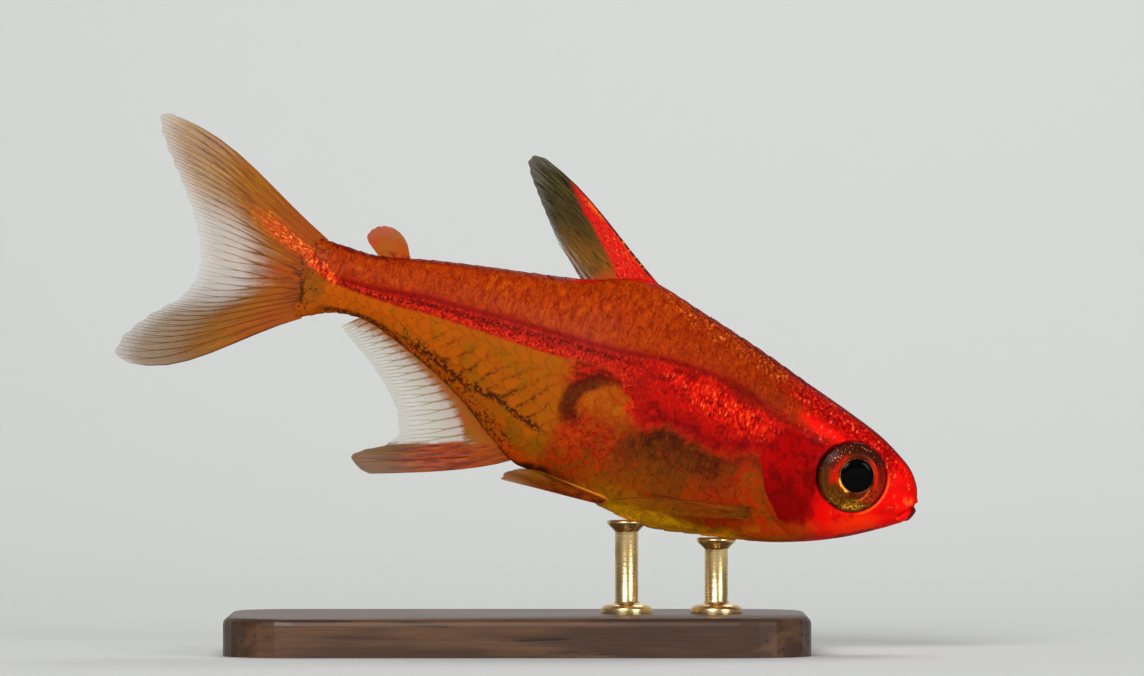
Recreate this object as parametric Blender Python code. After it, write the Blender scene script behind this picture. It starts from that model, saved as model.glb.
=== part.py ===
"""An ember tetra, a small orange-red aquarium fish, as a still life-size model on a display stand.

The fish is drawn in its own frame, in millimetres: x runs forward along its long axis, so that a
place s behind the snout has x = -s, y runs to its left and z up. Each finished mesh is then pitched
head down, set over the stand and scaled to metres, +Z up. The origin lies under the middle of the
model, on the surface that the stand's base rests on.
"""

import math

import bmesh
import bpy
from mathutils import Matrix, Vector

# Driving dimensions, in millimetres and degrees.
PITCH = 18.86  # the fish swims head down
GAP = 0.3  # left between pieces that meet
MM = 0.001

# The body's outline and sections, as (distance behind the snout, value).
BACK = (
    (-0.14, -0.72), (-0.07, -0.15), (0.11, 0.22), (0.42, 0.57), (0.85, 0.85), (1.63, 1.24), (2.74, 1.61),
    (4.19, 2.03), (6.37, 2.66), (8.15, 3.1), (9.84, 3.46), (11.9, 2.84), (14.4, 2.33), (16.55, 1.88),
    (17.75, 1.56), (18.4, 1.45), (19.7, 1.43),
)
BELLY = (
    (-0.14, -0.82), (-0.07, -0.96), (0.17, -1.14), (0.69, -1.51), (1.77, -2.17), (2.9, -2.69), (4.08, -3.09),
    (5.9, -3.49), (7.75, -3.8), (9.1, -3.66), (10.5, -3.38), (12.0, -3.26), (13.0, -2.74), (14.3, -1.9),
    (15.5, -1.33), (17.0, -0.78), (18.0, -0.54), (18.7, -0.62), (19.7, -1.08),
)
HALF_WIDTH = (
    (-0.14, 0.14), (-0.07, 0.3), (0.11, 0.46), (0.42, 0.62), (0.85, 0.8), (1.63, 1.06), (2.74, 1.3),
    (4.19, 1.46), (5.9, 1.52), (7.75, 1.5), (9.84, 1.36), (12.0, 1.08), (14.4, 0.78), (16.55, 0.57),
    (18.4, 0.43), (19.7, 0.32),
)
WIDEST_LINE = (
    (-0.14, -0.77), (0.42, -0.45), (1.63, -0.42), (4.19, -0.35), (7.75, -0.2), (12.0, 0.1), (14.4, 0.3),
    (18.4, 0.44), (19.7, 0.3),
)
# Above 1 a section narrows towards the back or the belly, and below 1 it is full there.
BACK_NARROWING = ((0.0, 0.8), (3.0, 0.85), (7.0, 1.0), (10.0, 1.1), (19.7, 1.0))
BELLY_NARROWING = ((0.0, 0.9), (3.0, 0.85), (7.0, 0.8), (10.5, 1.0), (13.0, 1.3), (16.0, 1.3), (19.7, 1.0))

RING_POINTS = 32
HEAD_STATIONS = (-0.13, -0.1, -0.03, 0.07, 0.2, 0.4, 0.7, 1.05, 1.5, 1.95, 2.35)
HEAD_REAR_RINGS = 6
TRUNK_RINGS = 17
TAIL_RINGS = 15
# The gill cover's rear edge, as (angle round the section, distance behind the snout).
GILL_EDGE = (
    (-90, 2.8), (-60, 3.35), (-42, 4.0), (-31, 4.42), (-19, 4.7), (0, 4.8), (15, 4.62), (45, 4.2), (90, 3.7),
)
GILL_EDGE_STEP = 0.07
TRUNK_END = 11.85
TAIL_END = 19.7

EYE_PLACE = (2.08, -0.27)
EYE_RADIUS = 1.1
EYE_HALF_DEPTH = 0.5
EYE_STANDS_OUT = 0.2
EYE_LEANS_FORWARD = 12.0
SOCKET_GAP = 0.25

MOUTH_FRONT = (-0.06, -0.37)
MOUTH_CORNER = (0.34, -0.99)
MOUTH_OPENING = 0.13
MOUTH_CORNER_OPENING = 0.04
LIP_RADIUS = 0.085
NOSTRILS = ((0.62, 0.4), (0.84, 0.5))
NOSTRIL_RADIUS = 0.085

# Fins: the base along the body, the line of the ray tips, front to rear, and how far the first and
# the last ray bow out from a straight line.
DORSAL_BASE = (9.85, 11.8)
DORSAL_TIPS = ((14.22, 6.0), (14.6, 5.95), (14.7, 5.75), (14.42, 5.3), (13.84, 4.62), (12.95, 3.62))
DORSAL_BOW = (0.2, 0.03)
DORSAL_RAYS = 11
ANAL_BASE = (12.1, 17.85)
ANAL_TIPS = (
    (16.2, -5.0), (16.68, -4.92), (16.96, -4.72), (16.62, -4.36), (16.05, -4.04), (15.72, -3.56),
    (16.02, -2.86), (16.62, -2.24), (17.37, -1.68), (18.03, -1.28), (18.5, -0.98),
)
ANAL_BOW = (-0.16, 0.0)
ANAL_FULLEST = 0.7  # as BOW_TOWARDS_TIP, for this fin: its front edge drops steeply from the belly
ANAL_LEAN = 0.65  # under 1 lays the front rays further back
ANAL_RAYS = 22
TAIL_FIN_TOP = 1.48
TAIL_FIN_BOTTOM = -1.28
TAIL_TIPS = (
    (25.4, 3.56), (25.86, 3.55), (25.9, 3.25), (25.32, 2.46), (24.69, 1.77), (24.02, 0.95), (23.59, 0.28),
    (23.26, -0.49), (23.23, -1.07), (23.49, -1.75), (24.21, -2.51), (24.58, -3.04), (24.86, -3.65),
    (24.84, -4.1), (24.4, -4.16),
)
TAIL_BOW = (0.33, -0.5)
TAIL_RAYS = 19
ADIPOSE_BASE = (17.1, 17.95)
ADIPOSE_TIPS = ((17.38, 2.12), (17.7, 2.36), (18.05, 2.44), (18.42, 2.3), (18.64, 1.98), (18.52, 1.76))
ADIPOSE_RIBS = 7
PECTORAL_BASE = ((4.62, -2.12), (4.66, -2.5))
PECTORAL_TIPS = ((8.8, -3.28), (8.1, -3.34), (7.3, -3.22), (6.3, -2.98))
PECTORAL_BOW = (0.14, -0.02)
PECTORAL_RAYS = 9
PECTORAL_OFF_FLANK = 0.52
PECTORAL_SPREAD = 0.03
PELVIC_BASE = ((9.0, 0.92, -3.48), (9.1, 0.55, -3.86))
PELVIC_TIPS = ((11.45, 1.0, -3.42), (12.1, 0.92, -3.52), (12.3, 0.78, -3.84))
PELVIC_RAYS = 7

# Half the thickness of a fin on a ray's crest, at the root and at the tip, and the ray's height over
# the membrane beside it.
ROOT_HALF = 0.29
TIP_HALF = 0.1
RAY_HEIGHT = 0.09
MEMBRANE_REACH = 0.97  # the membrane ends a little short of the ray tips
RAY_ROWS = (0.0, 0.16, 0.36, 0.58, 0.8, 1.0)
BOW_TOWARDS_TIP = 1.6  # above 1 a bowed ray is fullest past its middle

BASE_LENGTH = 18.0
BASE_WIDTH = 11.0
BASE_HEIGHT = 1.2
BASE_CORNER = 2.2
BASE_EDGE = 0.22
BELLY_OVER_BASE = 2.2
ROD_PLACES = {"front": 5.4, "rear": 8.2}
ROD_RADIUS = 0.42
ROD_SIDES = 20

# Colour, roughness and metallic value of each finish.
FINISHES = {
    "head_skin": ((0.84, 0.02, 0.004), 0.4, 0.0),
    "body_skin": ((0.42, 0.05, 0.002), 0.4, 0.0),
    "fin_membrane": ((0.5, 0.06, 0.003), 0.45, 0.0),
    "eye_glass": ((0.07, 0.01, 0.003), 0.12, 0.0),
    "stand_wood": ((0.07, 0.035, 0.018), 0.42, 0.0),
    "stand_brass": ((0.72, 0.52, 0.24), 0.3, 1.0),
}


def clear_scene():
    for old in list(bpy.data.objects):
        bpy.data.objects.remove(old, do_unlink=True)


def finish(name):
    colour, roughness, metallic = FINISHES[name]
    material = bpy.data.materials.get(name) or bpy.data.materials.new(name)
    material.use_nodes = True
    shader = material.node_tree.nodes["Principled BSDF"]
    shader.inputs["Base Color"].default_value = (*colour, 1.0)
    shader.inputs["Roughness"].default_value = roughness
    shader.inputs["Metallic"].default_value = metallic
    return material


def span(stations, place):
    """A smooth value at place from a few (place, value) stations, with no overshoot between them."""
    if place <= stations[0][0]:
        return stations[0][1]
    if place >= stations[-1][0]:
        return stations[-1][1]
    i = max(k for k in range(len(stations) - 1) if stations[k][0] <= place)

    def rise(k):
        return (stations[k + 1][1] - stations[k][1]) / (stations[k + 1][0] - stations[k][0])

    def slope(k):
        if k in (0, len(stations) - 1):
            return rise(min(k, len(stations) - 2))
        before, after = rise(k - 1), rise(k)
        return 0.0 if before * after <= 0 else 2 * before * after / (before + after)

    width = stations[i + 1][0] - stations[i][0]
    t = (place - stations[i][0]) / width
    return (
        (2 * t**3 - 3 * t**2 + 1) * stations[i][1]
        + (t**3 - 2 * t**2 + t) * width * slope(i)
        + (3 * t**2 - 2 * t**3) * stations[i + 1][1]
        + (t**3 - t**2) * width * slope(i + 1)
    )


def hull(s, angle, swell=0.0):
    """A point of the body's surface. The angle is 90 at the back, 0 at the widest line, -90 at the belly."""
    level = span(WIDEST_LINE, s)
    sine, cosine = math.sin(math.radians(angle)), math.cos(math.radians(angle))
    reach = span(BACK, s) - level if sine > 0 else level - span(BELLY, s)
    narrowing = span(BACK_NARROWING if sine > 0 else BELLY_NARROWING, s)
    out = (span(HALF_WIDTH, s) + swell) * abs(cosine) ** narrowing
    return Vector((-s, math.copysign(out, cosine), level + reach * sine))


def flank(s, h):
    """How far the body's side stands out from the middle at height h."""
    level = span(WIDEST_LINE, s)
    reach = span(BACK, s) - level if h > level else level - span(BELLY, s)
    sine = min(1.0, abs(h - level) / reach)
    narrowing = span(BACK_NARROWING if h > level else BELLY_NARROWING, s)
    return span(HALF_WIDTH, s) * (1 - sine**2) ** (narrowing / 2)


def gill_edge(angle):
    """Where the gill cover's rear edge lies at this angle, alike on both sides."""
    return span(GILL_EDGE, math.degrees(math.asin(math.sin(math.radians(angle)))))


def ring_angles():
    return [360 * k / RING_POINTS for k in range(RING_POINTS)]


def blend(a, b, t):
    return a + (b - a) * t


def new_object(name, material, bm, smooth_under=None):
    """An object of this mesh, with faces outwards and, where it is round, soft shading."""
    bmesh.ops.recalc_face_normals(bm, faces=bm.faces)
    mesh = bpy.data.meshes.new(name)
    bm.to_mesh(mesh)
    bm.free()
    mesh.materials.append(finish(material))
    if smooth_under is not None:
        mesh.shade_smooth()
        mesh.set_sharp_from_angle(angle=math.radians(smooth_under))
    obj = bpy.data.objects.new(name, mesh)
    bpy.context.scene.collection.objects.link(obj)
    return obj


def lofted(name, material, rings, front, rear):
    """A closed body through the rings, its ends closed onto the points front and rear."""
    bm = bmesh.new()
    rows = [[bm.verts.new(point) for point in ring] for ring in rings]
    count = len(rows[0])
    for near, far in zip(rows, rows[1:]):
        for k in range(count):
            after = (k + 1) % count
            bm.faces.new((near[k], near[after], far[after], far[k]))
    for row, middle in ((rows[0], front), (rows[-1], rear)):
        centre = bm.verts.new(middle)
        for k in range(count):
            bm.faces.new((row[k], row[(k + 1) % count], centre))
    return new_object(name, material, bm, smooth_under=50)


def middle_point(s):
    return Vector((-s, 0, span(WIDEST_LINE, s)))


def tube(name, path, radius, sides=8):
    """A closed round tube along the path, tapering to nothing much at both ends."""
    bm = bmesh.new()
    rows = []
    for i, place in enumerate(path):
        ahead = (path[min(i + 1, len(path) - 1)] - path[max(i - 1, 0)]).normalized()
        across = ahead.cross(Vector((0, 0, 1))).normalized()
        up = across.cross(ahead)
        share = i / (len(path) - 1)
        size = radius * (0.45 + 0.55 * math.sin(math.pi * share))
        rows.append([
            bm.verts.new(place + size * (math.cos(turn) * across + math.sin(turn) * up))
            for turn in (2 * math.pi * k / sides for k in range(sides))
        ])
    for near, far in zip(rows, rows[1:]):
        for k in range(sides):
            bm.faces.new((near[k], near[(k + 1) % sides], far[(k + 1) % sides], far[k]))
    bm.faces.new(rows[0])
    bm.faces.new(rows[-1])
    return new_object(name, "head_skin", bm)


def ball(name, radius, place, segments=20, rings=12):
    bm = bmesh.new()
    bmesh.ops.create_uvsphere(bm, u_segments=segments, v_segments=rings, radius=1.0)
    bmesh.ops.transform(bm, matrix=place @ Matrix.Diagonal((*radius, 1.0)), verts=bm.verts)
    return new_object(name, "eye_glass", bm, smooth_under=60)


def eye_matrix(side):
    """The eye's place: its disc lies in the side of the head and leans a little forward."""
    s, h = EYE_PLACE
    out = flank(s, h) + EYE_STANDS_OUT - EYE_HALF_DEPTH
    turn = Matrix.Rotation(math.radians(-side * EYE_LEANS_FORWARD), 4, "Z")
    return Matrix.Translation((-s, side * out, h)) @ turn


def eye_ball(name, side, grow):
    radius = (EYE_RADIUS + grow, EYE_HALF_DEPTH + grow, EYE_RADIUS + grow)
    pole_out = Matrix.Rotation(math.radians(90), 4, "X")
    bare = Vector(radius)
    return ball(name, (bare.x, bare.z, bare.y), eye_matrix(side) @ pole_out)


def mouth_wedge():
    """The open mouth: a thin wedge right across the snout, from its front back to the corners."""
    front = Vector((-MOUTH_FRONT[0], 0, MOUTH_FRONT[1]))
    corner = Vector((-MOUTH_CORNER[0], 0, MOUTH_CORNER[1]))
    along = (front - corner).normalized()
    across = Vector((-along.z, 0, along.x))
    outside = front + along * 0.5
    bm = bmesh.new()
    sides = []
    for y in (-1.5, 1.5):
        shift = Vector((0, y, 0))
        sides.append([
            bm.verts.new(corner + shift - across * MOUTH_CORNER_OPENING / 2),
            bm.verts.new(corner + shift + across * MOUTH_CORNER_OPENING / 2),
            bm.verts.new(outside + shift + across * MOUTH_OPENING),
            bm.verts.new(outside + shift - across * MOUTH_OPENING),
        ])
    right, left = sides
    bm.faces.new(right)
    bm.faces.new(left)
    for k in range(4):
        bm.faces.new((right[k], right[(k + 1) % 4], left[(k + 1) % 4], left[k]))
    return new_object("mouth_cutter", "head_skin", bm)


def lip(name, shift):
    """A lip: from one mouth corner round the snout to the other, just beside the opening."""
    front = Vector((-MOUTH_FRONT[0], 0, MOUTH_FRONT[1]))
    corner = Vector((-MOUTH_CORNER[0], 0, MOUTH_CORNER[1]))
    along = (front - corner).normalized()
    across = Vector((along.z, 0, -along.x)) * shift
    half = [corner.lerp(front, share) + across for share in (0.0, 0.25, 0.5, 0.75)]
    side = [(place, flank(-place.x, place.z)) for place in half]
    left = [Vector((place.x, out - 0.02, place.z)) for place, out in side]
    nose = front + across + along * 0.02
    right = [Vector((place.x, -place.y, place.z)) for place in reversed(left)]
    return tube(name, [*left, nose, *right], LIP_RADIUS)


def settled(obj, added=(), removed=()):
    """The object with the added pieces joined in and the removed shapes cut out, as one closed surface."""
    for operation, pieces in (("UNION", added), ("DIFFERENCE", removed)):
        if not pieces:
            continue
        group = bpy.data.collections.new(f"{obj.name}_{operation.lower()}")
        bpy.context.scene.collection.children.link(group)
        for piece in pieces:
            group.objects.link(piece)
            bpy.context.scene.collection.objects.unlink(piece)
            piece.hide_render = True
            piece.display_type = "WIRE"
        modifier = obj.modifiers.new(operation.title(), "BOOLEAN")
        modifier.operation = operation
        modifier.operand_type = "COLLECTION"
        modifier.collection = group
        modifier.solver = "EXACT"
        bpy.context.view_layer.update()
        evaluated = obj.evaluated_get(bpy.context.evaluated_depsgraph_get())
        mesh = bpy.data.meshes.new_from_object(evaluated)
        obj.modifiers.clear()
        obj.data = mesh
        for piece in pieces:
            bpy.data.objects.remove(piece, do_unlink=True)
        bpy.data.collections.remove(group)
    keep_largest(obj.data)
    return obj


def keep_largest(mesh):
    bm = bmesh.new()
    bm.from_mesh(mesh)
    left, islands = set(bm.verts), []
    while left:
        island, edge = set(), {next(iter(left))}
        while edge:
            island |= edge
            edge = {e.other_vert(v) for v in edge for e in v.link_edges} - island
        islands.append(island)
        left -= island
    largest = max(islands, key=len)
    bmesh.ops.delete(bm, geom=[v for v in bm.verts if v not in largest], context="VERTS")
    bmesh.ops.triangulate(bm, faces=bm.faces)
    bm.to_mesh(mesh)
    bm.free()


def build_head():
    rings = []
    for s in HEAD_STATIONS:
        rings.append([hull(s, angle) for angle in ring_angles()])
    for k in range(1, HEAD_REAR_RINGS + 1):
        share = k / HEAD_REAR_RINGS
        swell = GILL_EDGE_STEP * share**2
        rings.append([
            hull(blend(HEAD_STATIONS[-1], gill_edge(angle), share), angle, swell) for angle in ring_angles()
        ])
    head = lofted("head", "head_skin", rings, middle_point(-0.135), middle_point(gill_edge(0) - 0.5))
    lips = [lip("upper_lip", -1.35 * LIP_RADIUS), lip("lower_lip", 1.35 * LIP_RADIUS)]
    cutters = [mouth_wedge()]
    for side in (1, -1):
        cutters.append(eye_ball(f"socket_{side}", side, SOCKET_GAP))
        for i, (s, h) in enumerate(NOSTRILS):
            place = Matrix.Translation((-s, side * flank(s, h), h))
            cutters.append(ball(f"nostril_{side}_{i}", (NOSTRIL_RADIUS,) * 3, place, segments=8, rings=6))
    return settled(head, lips, cutters)


def build_trunk():
    rings = []
    for k in range(TRUNK_RINGS):
        share = k / (TRUNK_RINGS - 1)
        rings.append([
            hull(blend(gill_edge(angle) + GAP, TRUNK_END, share), angle) for angle in ring_angles()
        ])
    return lofted(
        "trunk", "body_skin", rings, middle_point(gill_edge(0) - 0.5 + GAP), middle_point(TRUNK_END)
    )


def build_tail():
    start = TRUNK_END + GAP
    stations = [blend(start, TAIL_END, k / (TAIL_RINGS - 1)) for k in range(TAIL_RINGS)]
    rings = [[hull(s, angle) for angle in ring_angles()] for s in stations]
    return lofted("tail_stem", "body_skin", rings, middle_point(start), middle_point(TAIL_END))


def along(line, share):
    """The point this share of the way along a line of points, by length."""
    lengths = [(b - a).length for a, b in zip(line, line[1:])]
    left = share * sum(lengths)
    for a, b, length in zip(line, line[1:], lengths):
        if left <= length:
            return a.lerp(b, left / length)
        left -= length
    return line[-1]


def in_plane(points):
    return [Vector((-s, 0, h)) for s, h in points]


def lifted(root, tip, outline, side):
    """Where the ray from root to tip stands clear of the body's outline by the gap."""
    for step in range(1, 100):
        place = root.lerp(tip, step / 100)
        if side * (place.z - span(outline, -place.x)) >= GAP:
            return place
    return tip


def fin(name, roots, tips, bows, out=Vector((0, 1, 0)), ridge=RAY_HEIGHT, root_half=ROOT_HALF, fullest=None):
    """A closed fin: a ray from each root to its tip stands up as a ridge on both faces of the membrane."""
    columns = []
    for k in range(2 * len(roots) - 1):
        i, j = k // 2, (k + 1) // 2
        root, tip = (roots[i] + roots[j]) / 2, (tips[i] + tips[j]) / 2
        bow = (bows[i] + bows[j]) / 2
        between = i != j
        column = []
        for row in RAY_ROWS:
            v = row * (MEMBRANE_REACH if between else 1.0)
            swell = bow * math.sin(math.pi * v ** (fullest or BOW_TOWARDS_TIP))
            place = root.lerp(tip, v) + Vector((0, 0, swell))
            half = blend(root_half, TIP_HALF, v) - (ridge * (1 - 0.6 * v) if between else 0.0)
            column.append((place + out * half, place - out * half))
        columns.append(column)
    bm = bmesh.new()
    made = [[(bm.verts.new(a), bm.verts.new(b)) for a, b in column] for column in columns]
    rows = len(RAY_ROWS)
    for near, far in zip(made, made[1:]):
        for r in range(rows - 1):
            for face in (0, 1):
                a, b, c, d = near[r][face], far[r][face], far[r + 1][face], near[r + 1][face]
                bm.faces.new((a, b, c))
                bm.faces.new((a, c, d))
    rim = [column[0] for column in made]
    rim += made[-1][1:]
    rim += [column[-1] for column in reversed(made[:-1])]
    rim += list(reversed(made[0][1:-1]))
    for k in range(len(rim)):
        after = rim[(k + 1) % len(rim)]
        bm.faces.new((rim[k][0], after[0], after[1], rim[k][1]))
    return new_object(name, "fin_membrane", bm, smooth_under=60)


def ramp(ends, count):
    return [blend(ends[0], ends[1], k / (count - 1)) for k in range(count)]


def median_fin(name, base, tips, bow, rays, outline, side, lean=1.0, **more):
    """A fin in the middle plane, on the back or on the belly; a lean under 1 lays its front rays back."""
    tip_line = in_plane(tips)
    ends = [along(tip_line, (k / (rays - 1)) ** lean) for k in range(rays)]
    feet = in_plane([(s, span(outline, s)) for s in ramp(base, rays)])
    roots = [lifted(foot, end, outline, side) for foot, end in zip(feet, ends)]
    return fin(name, roots, ends, ramp(bow, rays), **more)


def build_tail_fin():
    start = TAIL_END + GAP
    tip_line = in_plane(TAIL_TIPS)
    ends = [along(tip_line, k / (TAIL_RAYS - 1)) for k in range(TAIL_RAYS)]
    roots = [Vector((-start, 0, h)) for h in ramp((TAIL_FIN_TOP, TAIL_FIN_BOTTOM), TAIL_RAYS)]
    upper = TAIL_RAYS // 2
    upper_bows = [TAIL_BOW[0] * (1 - k / upper) for k in range(upper)]
    bows = upper_bows + [TAIL_BOW[1] * (k / upper - 1) for k in range(upper, TAIL_RAYS)]
    return fin("caudal_fin", roots, ends, bows)


def build_pectoral(name, side):
    """A front fin, folded back along the lower flank and a little off it."""

    def beside(place):
        s = -place.x
        out = flank(s, place.z) + PECTORAL_OFF_FLANK + PECTORAL_SPREAD * (s - PECTORAL_BASE[0][0])
        return Vector((place.x, side * out, place.z))

    base, tip_line = in_plane(PECTORAL_BASE), in_plane(PECTORAL_TIPS)
    shares = [k / (PECTORAL_RAYS - 1) for k in range(PECTORAL_RAYS)]
    roots = [beside(along(base, share)) for share in shares]
    ends = [beside(along(tip_line, share)) for share in shares]
    return fin(name, roots, ends, ramp(PECTORAL_BOW, PECTORAL_RAYS), ridge=0.06, root_half=0.24)


def build_pelvic(name, side):
    """A belly fin, folded back under the belly, its lowest ray the longest."""
    base = [Vector((-s, side * y, h)) for s, y, h in PELVIC_BASE]
    tip_line = [Vector((-s, side * y, h)) for s, y, h in PELVIC_TIPS]
    shares = [k / (PELVIC_RAYS - 1) for k in range(PELVIC_RAYS)]
    roots = [along(base, share) for share in shares]
    ends = [along(tip_line, share) for share in shares]
    out = Vector((0, side, -1)).normalized()
    return fin(name, roots, ends, [0.0] * PELVIC_RAYS, out=out, ridge=0.06, root_half=0.22)


def build_fish():
    pieces = [build_head(), build_trunk(), build_tail(), build_tail_fin()]
    pieces.append(median_fin("dorsal_fin", DORSAL_BASE, DORSAL_TIPS, DORSAL_BOW, DORSAL_RAYS, BACK, 1))
    anal_shape = (ANAL_BASE, ANAL_TIPS, ANAL_BOW, ANAL_RAYS)
    pieces.append(median_fin("anal_fin", *anal_shape, BELLY, -1, ANAL_LEAN, fullest=ANAL_FULLEST))
    pieces.append(
        median_fin("adipose_fin", ADIPOSE_BASE, ADIPOSE_TIPS, (0.0, 0.0), ADIPOSE_RIBS, BACK, 1, ridge=0.0)
    )
    for word, side in (("left", 1), ("right", -1)):
        pieces.append(eye_ball(f"eye_{word}", side, 0.0))
        pieces.append(build_pectoral(f"pectoral_fin_{word}", side))
        pieces.append(build_pelvic(f"pelvic_fin_{word}", side))
    return pieces


def place_over_base(pieces):
    """Pitches the fish and gives the shift that centres it over the base, its belly clear of it."""
    pitch = Matrix.Rotation(math.radians(PITCH), 4, "Y")
    points = [pitch @ v.co for piece in pieces for v in piece.data.vertices]
    middle = (min(p.x for p in points) + max(p.x for p in points)) / 2
    lift = BASE_HEIGHT + BELLY_OVER_BASE - min(p.z for p in points)
    return Matrix.Translation((-middle, 0, lift)) @ pitch


def build_base():
    base_size = (BASE_LENGTH, BASE_WIDTH, BASE_HEIGHT, 1)
    bm = bmesh.new()
    bmesh.ops.create_cube(bm, size=1.0)
    bmesh.ops.transform(
        bm,
        matrix=Matrix.Translation((0, 0, BASE_HEIGHT / 2)) @ Matrix.Diagonal(base_size),
        verts=bm.verts,
    )
    upright = [e for e in bm.edges if abs(e.verts[0].co.z - e.verts[1].co.z) > BASE_HEIGHT / 2]
    bmesh.ops.bevel(bm, geom=upright, offset=BASE_CORNER, segments=6, profile=0.5, affect="EDGES")
    top = [e for e in bm.edges if all(v.co.z > 0.99 * BASE_HEIGHT for v in e.verts)]
    bmesh.ops.bevel(bm, geom=top, offset=BASE_EDGE, segments=3, profile=0.5, affect="EDGES")
    return new_object("stand_base", "stand_wood", bm, smooth_under=30)


def build_rod(name, s, placed):
    """A rod from just over the base to just under the belly at s."""
    foot = BASE_HEIGHT + GAP
    under = placed @ Vector((-s, 0, span(BELLY, s)))
    top = under.z - GAP
    bm = bmesh.new()
    bmesh.ops.create_cone(
        bm, cap_ends=True, segments=ROD_SIDES, radius1=ROD_RADIUS, radius2=ROD_RADIUS, depth=top - foot
    )
    bmesh.ops.translate(bm, vec=(under.x, 0, (top + foot) / 2), verts=bm.verts)
    return new_object(name, "stand_brass", bm, smooth_under=30)


def main():
    clear_scene()
    fish = build_fish()
    placed = place_over_base(fish)
    for piece in fish:
        piece.data.transform(placed)
    stand = [build_base()]
    stand += [build_rod(f"stand_rod_{word}", s, placed) for word, s in ROD_PLACES.items()]
    for piece in fish + stand:
        piece.data.transform(Matrix.Scale(MM, 4))
        piece.data.update()


main()
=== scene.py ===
"""The looks of a life-size model of an ember tetra on its display stand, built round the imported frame."""

import math

import bpy
import numpy as np
from mathutils import Matrix, Vector


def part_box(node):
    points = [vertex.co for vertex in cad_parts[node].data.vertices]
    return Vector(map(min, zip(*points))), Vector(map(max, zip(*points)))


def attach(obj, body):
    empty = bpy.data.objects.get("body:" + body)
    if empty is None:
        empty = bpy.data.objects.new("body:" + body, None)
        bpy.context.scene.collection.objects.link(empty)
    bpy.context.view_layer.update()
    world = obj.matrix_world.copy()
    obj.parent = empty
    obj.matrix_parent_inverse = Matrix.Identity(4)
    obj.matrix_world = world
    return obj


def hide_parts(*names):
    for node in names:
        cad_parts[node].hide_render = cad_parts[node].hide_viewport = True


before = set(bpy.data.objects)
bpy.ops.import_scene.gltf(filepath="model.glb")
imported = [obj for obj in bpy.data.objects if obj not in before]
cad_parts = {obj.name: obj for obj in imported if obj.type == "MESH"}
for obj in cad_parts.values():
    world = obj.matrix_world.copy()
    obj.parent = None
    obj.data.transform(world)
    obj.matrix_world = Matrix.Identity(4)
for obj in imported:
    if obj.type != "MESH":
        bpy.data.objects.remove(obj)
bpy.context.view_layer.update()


# The studio: the model stands on pale paper that curves up behind it and is clear from its back, under
# soft lamps and an even light that the camera sees as pale. The camera looks level from the fish's
# right side, as the photograph does, from far off with a long lens.
MM = 0.001
PHOTO_WIDTH, PHOTO_HEIGHT = 1144, 676
MM_PER_PIXEL = 0.030926
SNOUT_PIXEL = (917, 490)
PITCH = math.radians(18.86)
EYE_PLACE = (2.08, -0.27)  # behind the snout and above the long axis, in millimetres
CAMERA_FAR = 0.3
SENSOR_WIDTH = 36
SWEEP_START, SWEEP_RADIUS, FLOOR_HALF = 0.07, 0.08, 0.4
PAPER_COLOUR, PAPER_ROUGHNESS = (0.6, 0.61, 0.6), 0.9
AIR_LIGHT, AIR_SEEN = 0.16, 0.65
LAMPS_AIM = (0, 0, 0.009)
LAMPS = (  # each lamp's place, size and power
    ((-0.08, -0.25, 0.14), 0.12, 0.66),
    ((0.16, -0.17, 0.07), 0.1, 0.2),
    ((0.02, 0.12, 0.16), 0.1, 0.16),
)

pitch = Matrix.Rotation(PITCH, 4, "Y")
eye_low, eye_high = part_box("eye_right")
eye_middle = (eye_low + eye_high) / 2
snout = eye_middle / MM - pitch.to_3x3() @ Vector((-EYE_PLACE[0], 0, EYE_PLACE[1]))
snout.y = 0
to_row = Matrix.Scale(MM, 4) @ Matrix.Translation(snout) @ pitch


def clear_selection():
    if bpy.context.object and bpy.context.object.mode != "OBJECT":
        bpy.ops.object.mode_set(mode="OBJECT")
    bpy.ops.object.select_all(action="DESELECT")


def select_only(piece):
    clear_selection()
    piece.select_set(True)
    bpy.context.view_layer.objects.active = piece


def new_piece(name):
    """The object that the last operator added, under its own name."""
    piece = bpy.context.object
    piece.name = name
    piece.data.name = name
    return piece


def settle(piece):
    """Puts the piece's place into its mesh, so that the object itself sits at the origin."""
    select_only(piece)
    bpy.ops.object.transform_apply(location=True, rotation=True, scale=True)


def face_outwards(piece):
    """Turns every face of the piece outwards and leaves the piece selected."""
    select_only(piece)
    bpy.ops.object.mode_set(mode="EDIT")
    bpy.ops.mesh.select_all(action="SELECT")
    bpy.ops.mesh.normals_make_consistent(inside=False)
    bpy.ops.object.mode_set(mode="OBJECT")


def apply_modifiers(piece):
    select_only(piece)
    for modifier in list(piece.modifiers):
        bpy.ops.object.modifier_apply(modifier=modifier.name)


def add_camera():
    across = (PHOTO_WIDTH / 2 - SNOUT_PIXEL[0]) * MM_PER_PIXEL
    up = (SNOUT_PIXEL[1] - PHOTO_HEIGHT / 2) * MM_PER_PIXEL
    place = ((snout.x + across) * MM, -CAMERA_FAR, (snout.z + up) * MM)
    bpy.ops.object.camera_add(location=place, rotation=(math.pi / 2, 0, 0))
    camera = bpy.context.object.data
    camera.sensor_width = SENSOR_WIDTH
    camera.lens = camera.sensor_width * CAMERA_FAR / (PHOTO_WIDTH * MM_PER_PIXEL * MM)
    camera.clip_start, camera.clip_end = 0.01, 5
    bpy.context.scene.camera = bpy.context.object


def new_material(name):
    material = bpy.data.materials.new(name)
    material.use_nodes = True
    tree = material.node_tree
    return material, tree, tree.nodes["Principled BSDF"]


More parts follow.
